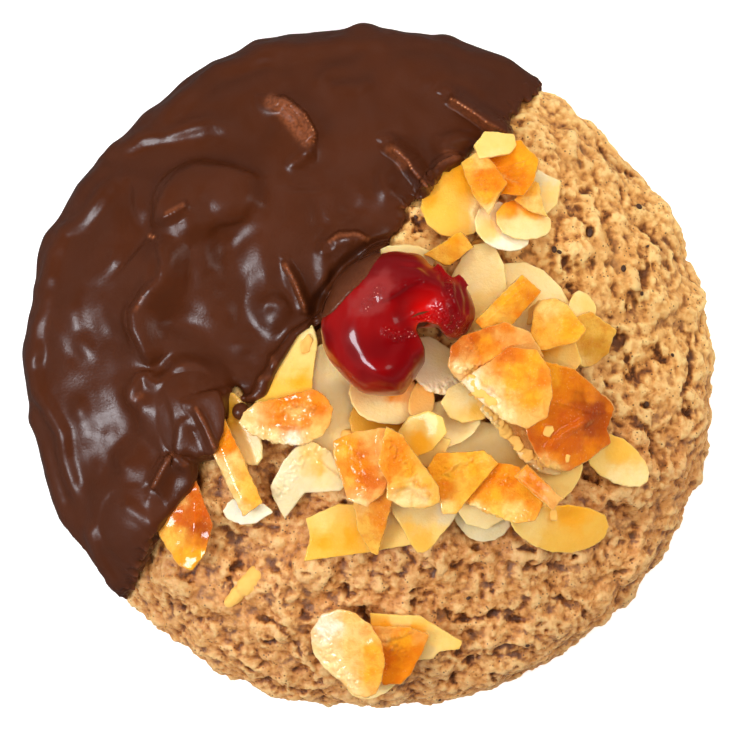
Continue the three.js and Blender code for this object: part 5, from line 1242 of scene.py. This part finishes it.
def make_cherry_cap():
    """The chocolate that reached the cherry: a skin on its upper left shoulder."""
    piece = copy_of("cherry", "cherry_cap")
    shape_cherry(piece, 8)

    def coated(centres):
        distance, side, _ = from_line(centres[:, :2], CAP_EDGE)
        return np.where(side > 0, distance, -distance)

    inside = coated(places(piece))
    skin = 0.2 * ramped(-0.2, 0.1, inside) + 0.45 * ramped(0.2, 2.6, inside)
    brush(piece, skin - 1.2 * ramped(0.0, -0.5, inside))
    smooth(piece, 3)
    select_faces(piece, lambda centres, normals: coated(centres) < -1.0)
    in_edit(piece, bpy.ops.mesh.decimate, ratio=0.05)
    note(piece, "thin", 0.22 * (1 - ramped(0.2, 2.4, coated(places(piece)))))
    only(piece)
    bpy.ops.object.shade_smooth()
    dress(piece, chocolate_finish(), "chocolate")


def wandering(plan):
    """The places moved by up to half a millimetre or so, so that what is drawn with them is uneven."""
    x, y = plan[:, 0], plan[:, 1]
    shift = 0.0
    for step, reach in ((1.7, 0.2), (3.3, 0.12), (7.1, 0.07)):
        shift = shift + reach * np.stack([
            np.sin(step * (y + 0.6 * x) + 1.7) + np.cos(1.3 * step * x - 0.4),
            np.sin(step * (x - 0.5 * y) + 0.3) + np.cos(1.2 * step * y + 2.1)], axis=1)
    return plan + shift


def widen(piece, reach):
    """Moves a slice's rim outwards in plan and leaves its faces flat."""
    facing = directions(piece)
    side = np.maximum(np.hypot(facing[:, 0], facing[:, 1]), 0.05)
    rim = reach * (1 - ramped(0.86, 0.98, np.abs(facing[:, 2]))) / side
    for axis, name in enumerate("XY"):
        brush(piece, rim * facing[:, axis], name)


def tone_of(piece, tone, spots):
    """The colours of an almond: its own tone, drawn towards the tones noted on it nearby."""
    plan = wandering(places(piece)[:, :2])
    pull = np.full(len(plan), 0.12)
    colours = pull[:, None] * TONES[tone]
    for x, y, radius, other in spots:
        force = radius ** 3 / (np.hypot(plan[:, 0] - x, plan[:, 1] - y) ** 3 + 0.2)
        colours = colours + force[:, None] * TONES[other]
        pull = pull + force
    colours = colours / pull[:, None]
    wall = 0.45 * (1 - ramped(0.25, 0.7, np.abs(directions(piece)[:, 2])))
    return colours + wall[:, None] * (TONES["butter"] - colours)


def make_almonds():
    """The almonds: each slice thin and warped, its rim nibbled, its tones and crust its own."""
    stain = paint(240, 190, 110)
    finishes = {
        "almond_pale": almond_finish("almond_pale", 0.3, 0.1, 0.3, paint(252, 232, 180)),
        "almond_golden": almond_finish("almond_golden", 0.85, 0.6, 0.14, stain),
        "almond_toasted": almond_finish("almond_toasted", 0.75, 0.5, 0.14, stain),
    }
    warp, wave, nibble, crystals = grain(7.0, 0), grain(2.6, 1), grain(0.9, 1), grain(0.5, 1)
    for node, (slot, tone, spots) in ALMONDS.items():
        ripple, bite = (0.12, 0.25) if slot == "almond_pale" else (0.35, 0.4)
        piece = copy_of(node, node + "_slice")
        widen(piece, WIDER.get(node, SLICE_GROWTH))
        remesh(piece, SLICE_VOXEL)
        smooth(piece, 1)
        if node in SLICE_OUTLINES:
            fit_outline(piece, *SLICE_OUTLINES[node], 0.1)
        if node in SLICE_CRESTS:
            up = ramped(0.1, 0.6, directions(piece)[:, 2])
            brush(piece, drawn(crest, places(piece)[:, :2], SLICE_CRESTS[node]) * up, "Z")
        roughen(piece, warp, 0.9, 0.5, direction="Z")
        roughen(piece, wave, ripple)
        rim = weigh(piece, "rim", 1 - ramped(0.3, 0.8, np.abs(directions(piece)[:, 2])))
        roughen(piece, nibble, bite, 0.5, rim)
        if node in SUGAR:
            crust = weigh(piece, "crust", marked(places(piece)[:, :2], SUGAR[node]))
            roughen(piece, crystals, 0.8, 0.45, crust)
        piece.vertex_groups.clear()
        note_colour(piece, "tone", tone_of(piece, tone, spots))
        note(piece, "edge", ramped(0.02, 0.12, standing_out(piece, 3)))
        dress(piece, finishes[slot], slot, node)


def crust_crumbs():
    """Small uneven crumbs along the crusts, in the terms of the chips."""
    draw = random.Random(4)
    crumbs = []
    for line, gap, tones in CRUSTS:
        for x, y in stations(line, gap)[0]:
            length = draw.uniform(0.9, 1.7)
            crumbs.append(((x + draw.uniform(-0.35, 0.35), y + draw.uniform(-0.35, 0.35), -0.15),
                           (length, draw.uniform(0.6, 1.0) * length, draw.uniform(0.5, 0.8)),
                           draw.uniform(0, 180), draw.uniform(-12, 12), draw.choice(tones)))
    return crumbs


def make_chips():
    """The almond bits between the slices."""
    under = surfaces(*(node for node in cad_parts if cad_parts[node].type == "MESH"))
    chips, bits = [], CHIPS + crust_crumbs() + BURIED
    for bit in bits:
        (x, y, lift), size, heading, pitch, _ = bit
        if bit in BURIED:
            chip = add_ball(20, 10)
        else:
            bpy.ops.mesh.primitive_cylinder_add(vertices=5, radius=0.6 * MM, depth=1 * MM)
            chip = bpy.context.active_object
        chip.scale = size
        chip.location = (x * MM, y * MM, top_of(under, x, y) + lift * MM)
        chip.rotation_euler = (0, math.radians(-pitch), math.radians(heading))
        chips.append(chip)
    piece = joined(chips[::-1], "almond_chips")
    remesh(piece, CHIP_VOXEL)
    smooth(piece, 1)
    roughen(piece, grain(1.3, 1), 0.6)
    plan = places(piece)[:, :2]
    nearest = np.argmin([np.hypot(*(plan - (x, y)).T) / max(size[:2])
                         for (x, y, _), size, *_ in bits], axis=0)
    note_colour(piece, "tone", np.array([TONES[bit[-1]] for bit in bits])[nearest])
    dress(piece, bpy.data.materials["almond_golden"], "almond_golden")


def make_drop():
    """The round drop of chocolate beside the almonds at the left."""
    x, y = DROP
    top = top_of(surfaces("dough", "flake_coated_beige", "flake_orange_left"), x, y)
    bpy.ops.mesh.primitive_uv_sphere_add(segments=40, ring_count=24, radius=DROP_RADIUS * MM,
                                         location=(x * MM, y * MM, top + DROP_LIFT * MM))
    piece = bpy.context.active_object
    piece.name = "chocolate_drop"
    bpy.ops.object.transform_apply(location=True, rotation=True, scale=True)
    bpy.ops.object.shade_smooth()
    dress(piece, bpy.data.materials["dark_chocolate"], "chocolate")


# ---------------------------------------------------------------- the studio


def make_studio():
    """A white floor, a cool key light from the left, soft fills, and a sky that is bright low down."""
    bpy.ops.mesh.primitive_plane_add(size=2.4, location=(0, 0, 0))
    floor = bpy.context.active_object
    floor.name = "floor"
    paper = Finish("white_paper")
    paper.set(Base_Color=paint(250, 250, 250), Roughness=0.9, Emission_Color=paint(255, 255, 255),
              Emission_Strength=0.5)
    floor.data.materials.append(paper.material)
    floor.visible_glossy = False

    world = bpy.data.worlds.new("studio")
    bpy.context.scene.world = world
    world.use_nodes = True
    tree = world.node_tree
    sky = tree.nodes["Background"]
    place = tree.nodes.new("ShaderNodeTexCoord")
    split = tree.nodes.new("ShaderNodeSeparateXYZ")
    height = tree.nodes.new("ShaderNodeValToRGB")
    elements = height.color_ramp.elements
    for _ in range(2):
        elements.new(0.5)
    for element, (place_up, glow) in zip(elements, ((0.0, 0.1), (0.12, 0.3), (0.4, 0.1), (1.0, 0.02))):
        element.position = place_up
        element.color = (glow, glow, glow, 1)
    tree.links.new(place.outputs["Generated"], split.inputs[0])
    tree.links.new(split.outputs["Z"], height.inputs["Fac"])
    tree.links.new(height.outputs["Color"], sky.inputs["Strength"])
    sky.inputs["Color"].default_value = (1.0, 0.99, 0.98, 1.0)

    def lamp(name, at, size, power, colour, glints=True, aim=(0, 0, 12)):
        light = bpy.data.lights.new(name, "AREA")
        light.shape = "RECTANGLE"
        light.size, light.size_y = size[0] * MM, size[1] * MM
        light.energy = power
        light.color = colour
        holder = bpy.data.objects.new(name, light)
        holder.location = Vector(at) * MM
        holder.rotation_euler = (Vector(aim) - Vector(at)).to_track_quat("-Z", "Y").to_euler()
        holder.visible_glossy = glints
        bpy.context.scene.collection.objects.link(holder)

    lamp("key_from_left", (-300, -110, 310), (120, 160), 1.3, (0.9, 0.94, 1.0))
    lamp("glint_from_the_right", (310, 100, 330), (130, 130), 0.15, (1.0, 0.98, 0.94))
    lamp("soft_from_the_right", (310, 100, 330), (240, 240), 0.7, (1.0, 0.98, 0.94), glints=False)
    lamp("soft_from_the_top", (-40, 340, 340), (260, 160), 0.9, (1.0, 0.98, 0.95), glints=False)
    lamp("soft_from_overhead", (0, 0, 520), (420, 420), 1.52, (1.0, 0.98, 0.95), glints=False)


def make_camera():
    data = bpy.data.cameras.new("from_above")
    data.sensor_width = 36.0
    data.lens = CAMERA_LENS
    data.clip_end = 10.0
    camera = bpy.data.objects.new("from_above", data)
    camera.location = Vector((*CAMERA_OVER, CAMERA_HEIGHT)) * MM
    bpy.context.scene.collection.objects.link(camera)
    bpy.context.scene.camera = camera
    bpy.context.scene.view_settings.view_transform = "Standard"


make_camera()
make_studio()
make_dough()
make_seeds()
make_cherry()
make_cherry_cap()
make_chocolate()
make_drop()
make_almonds()
make_chips()
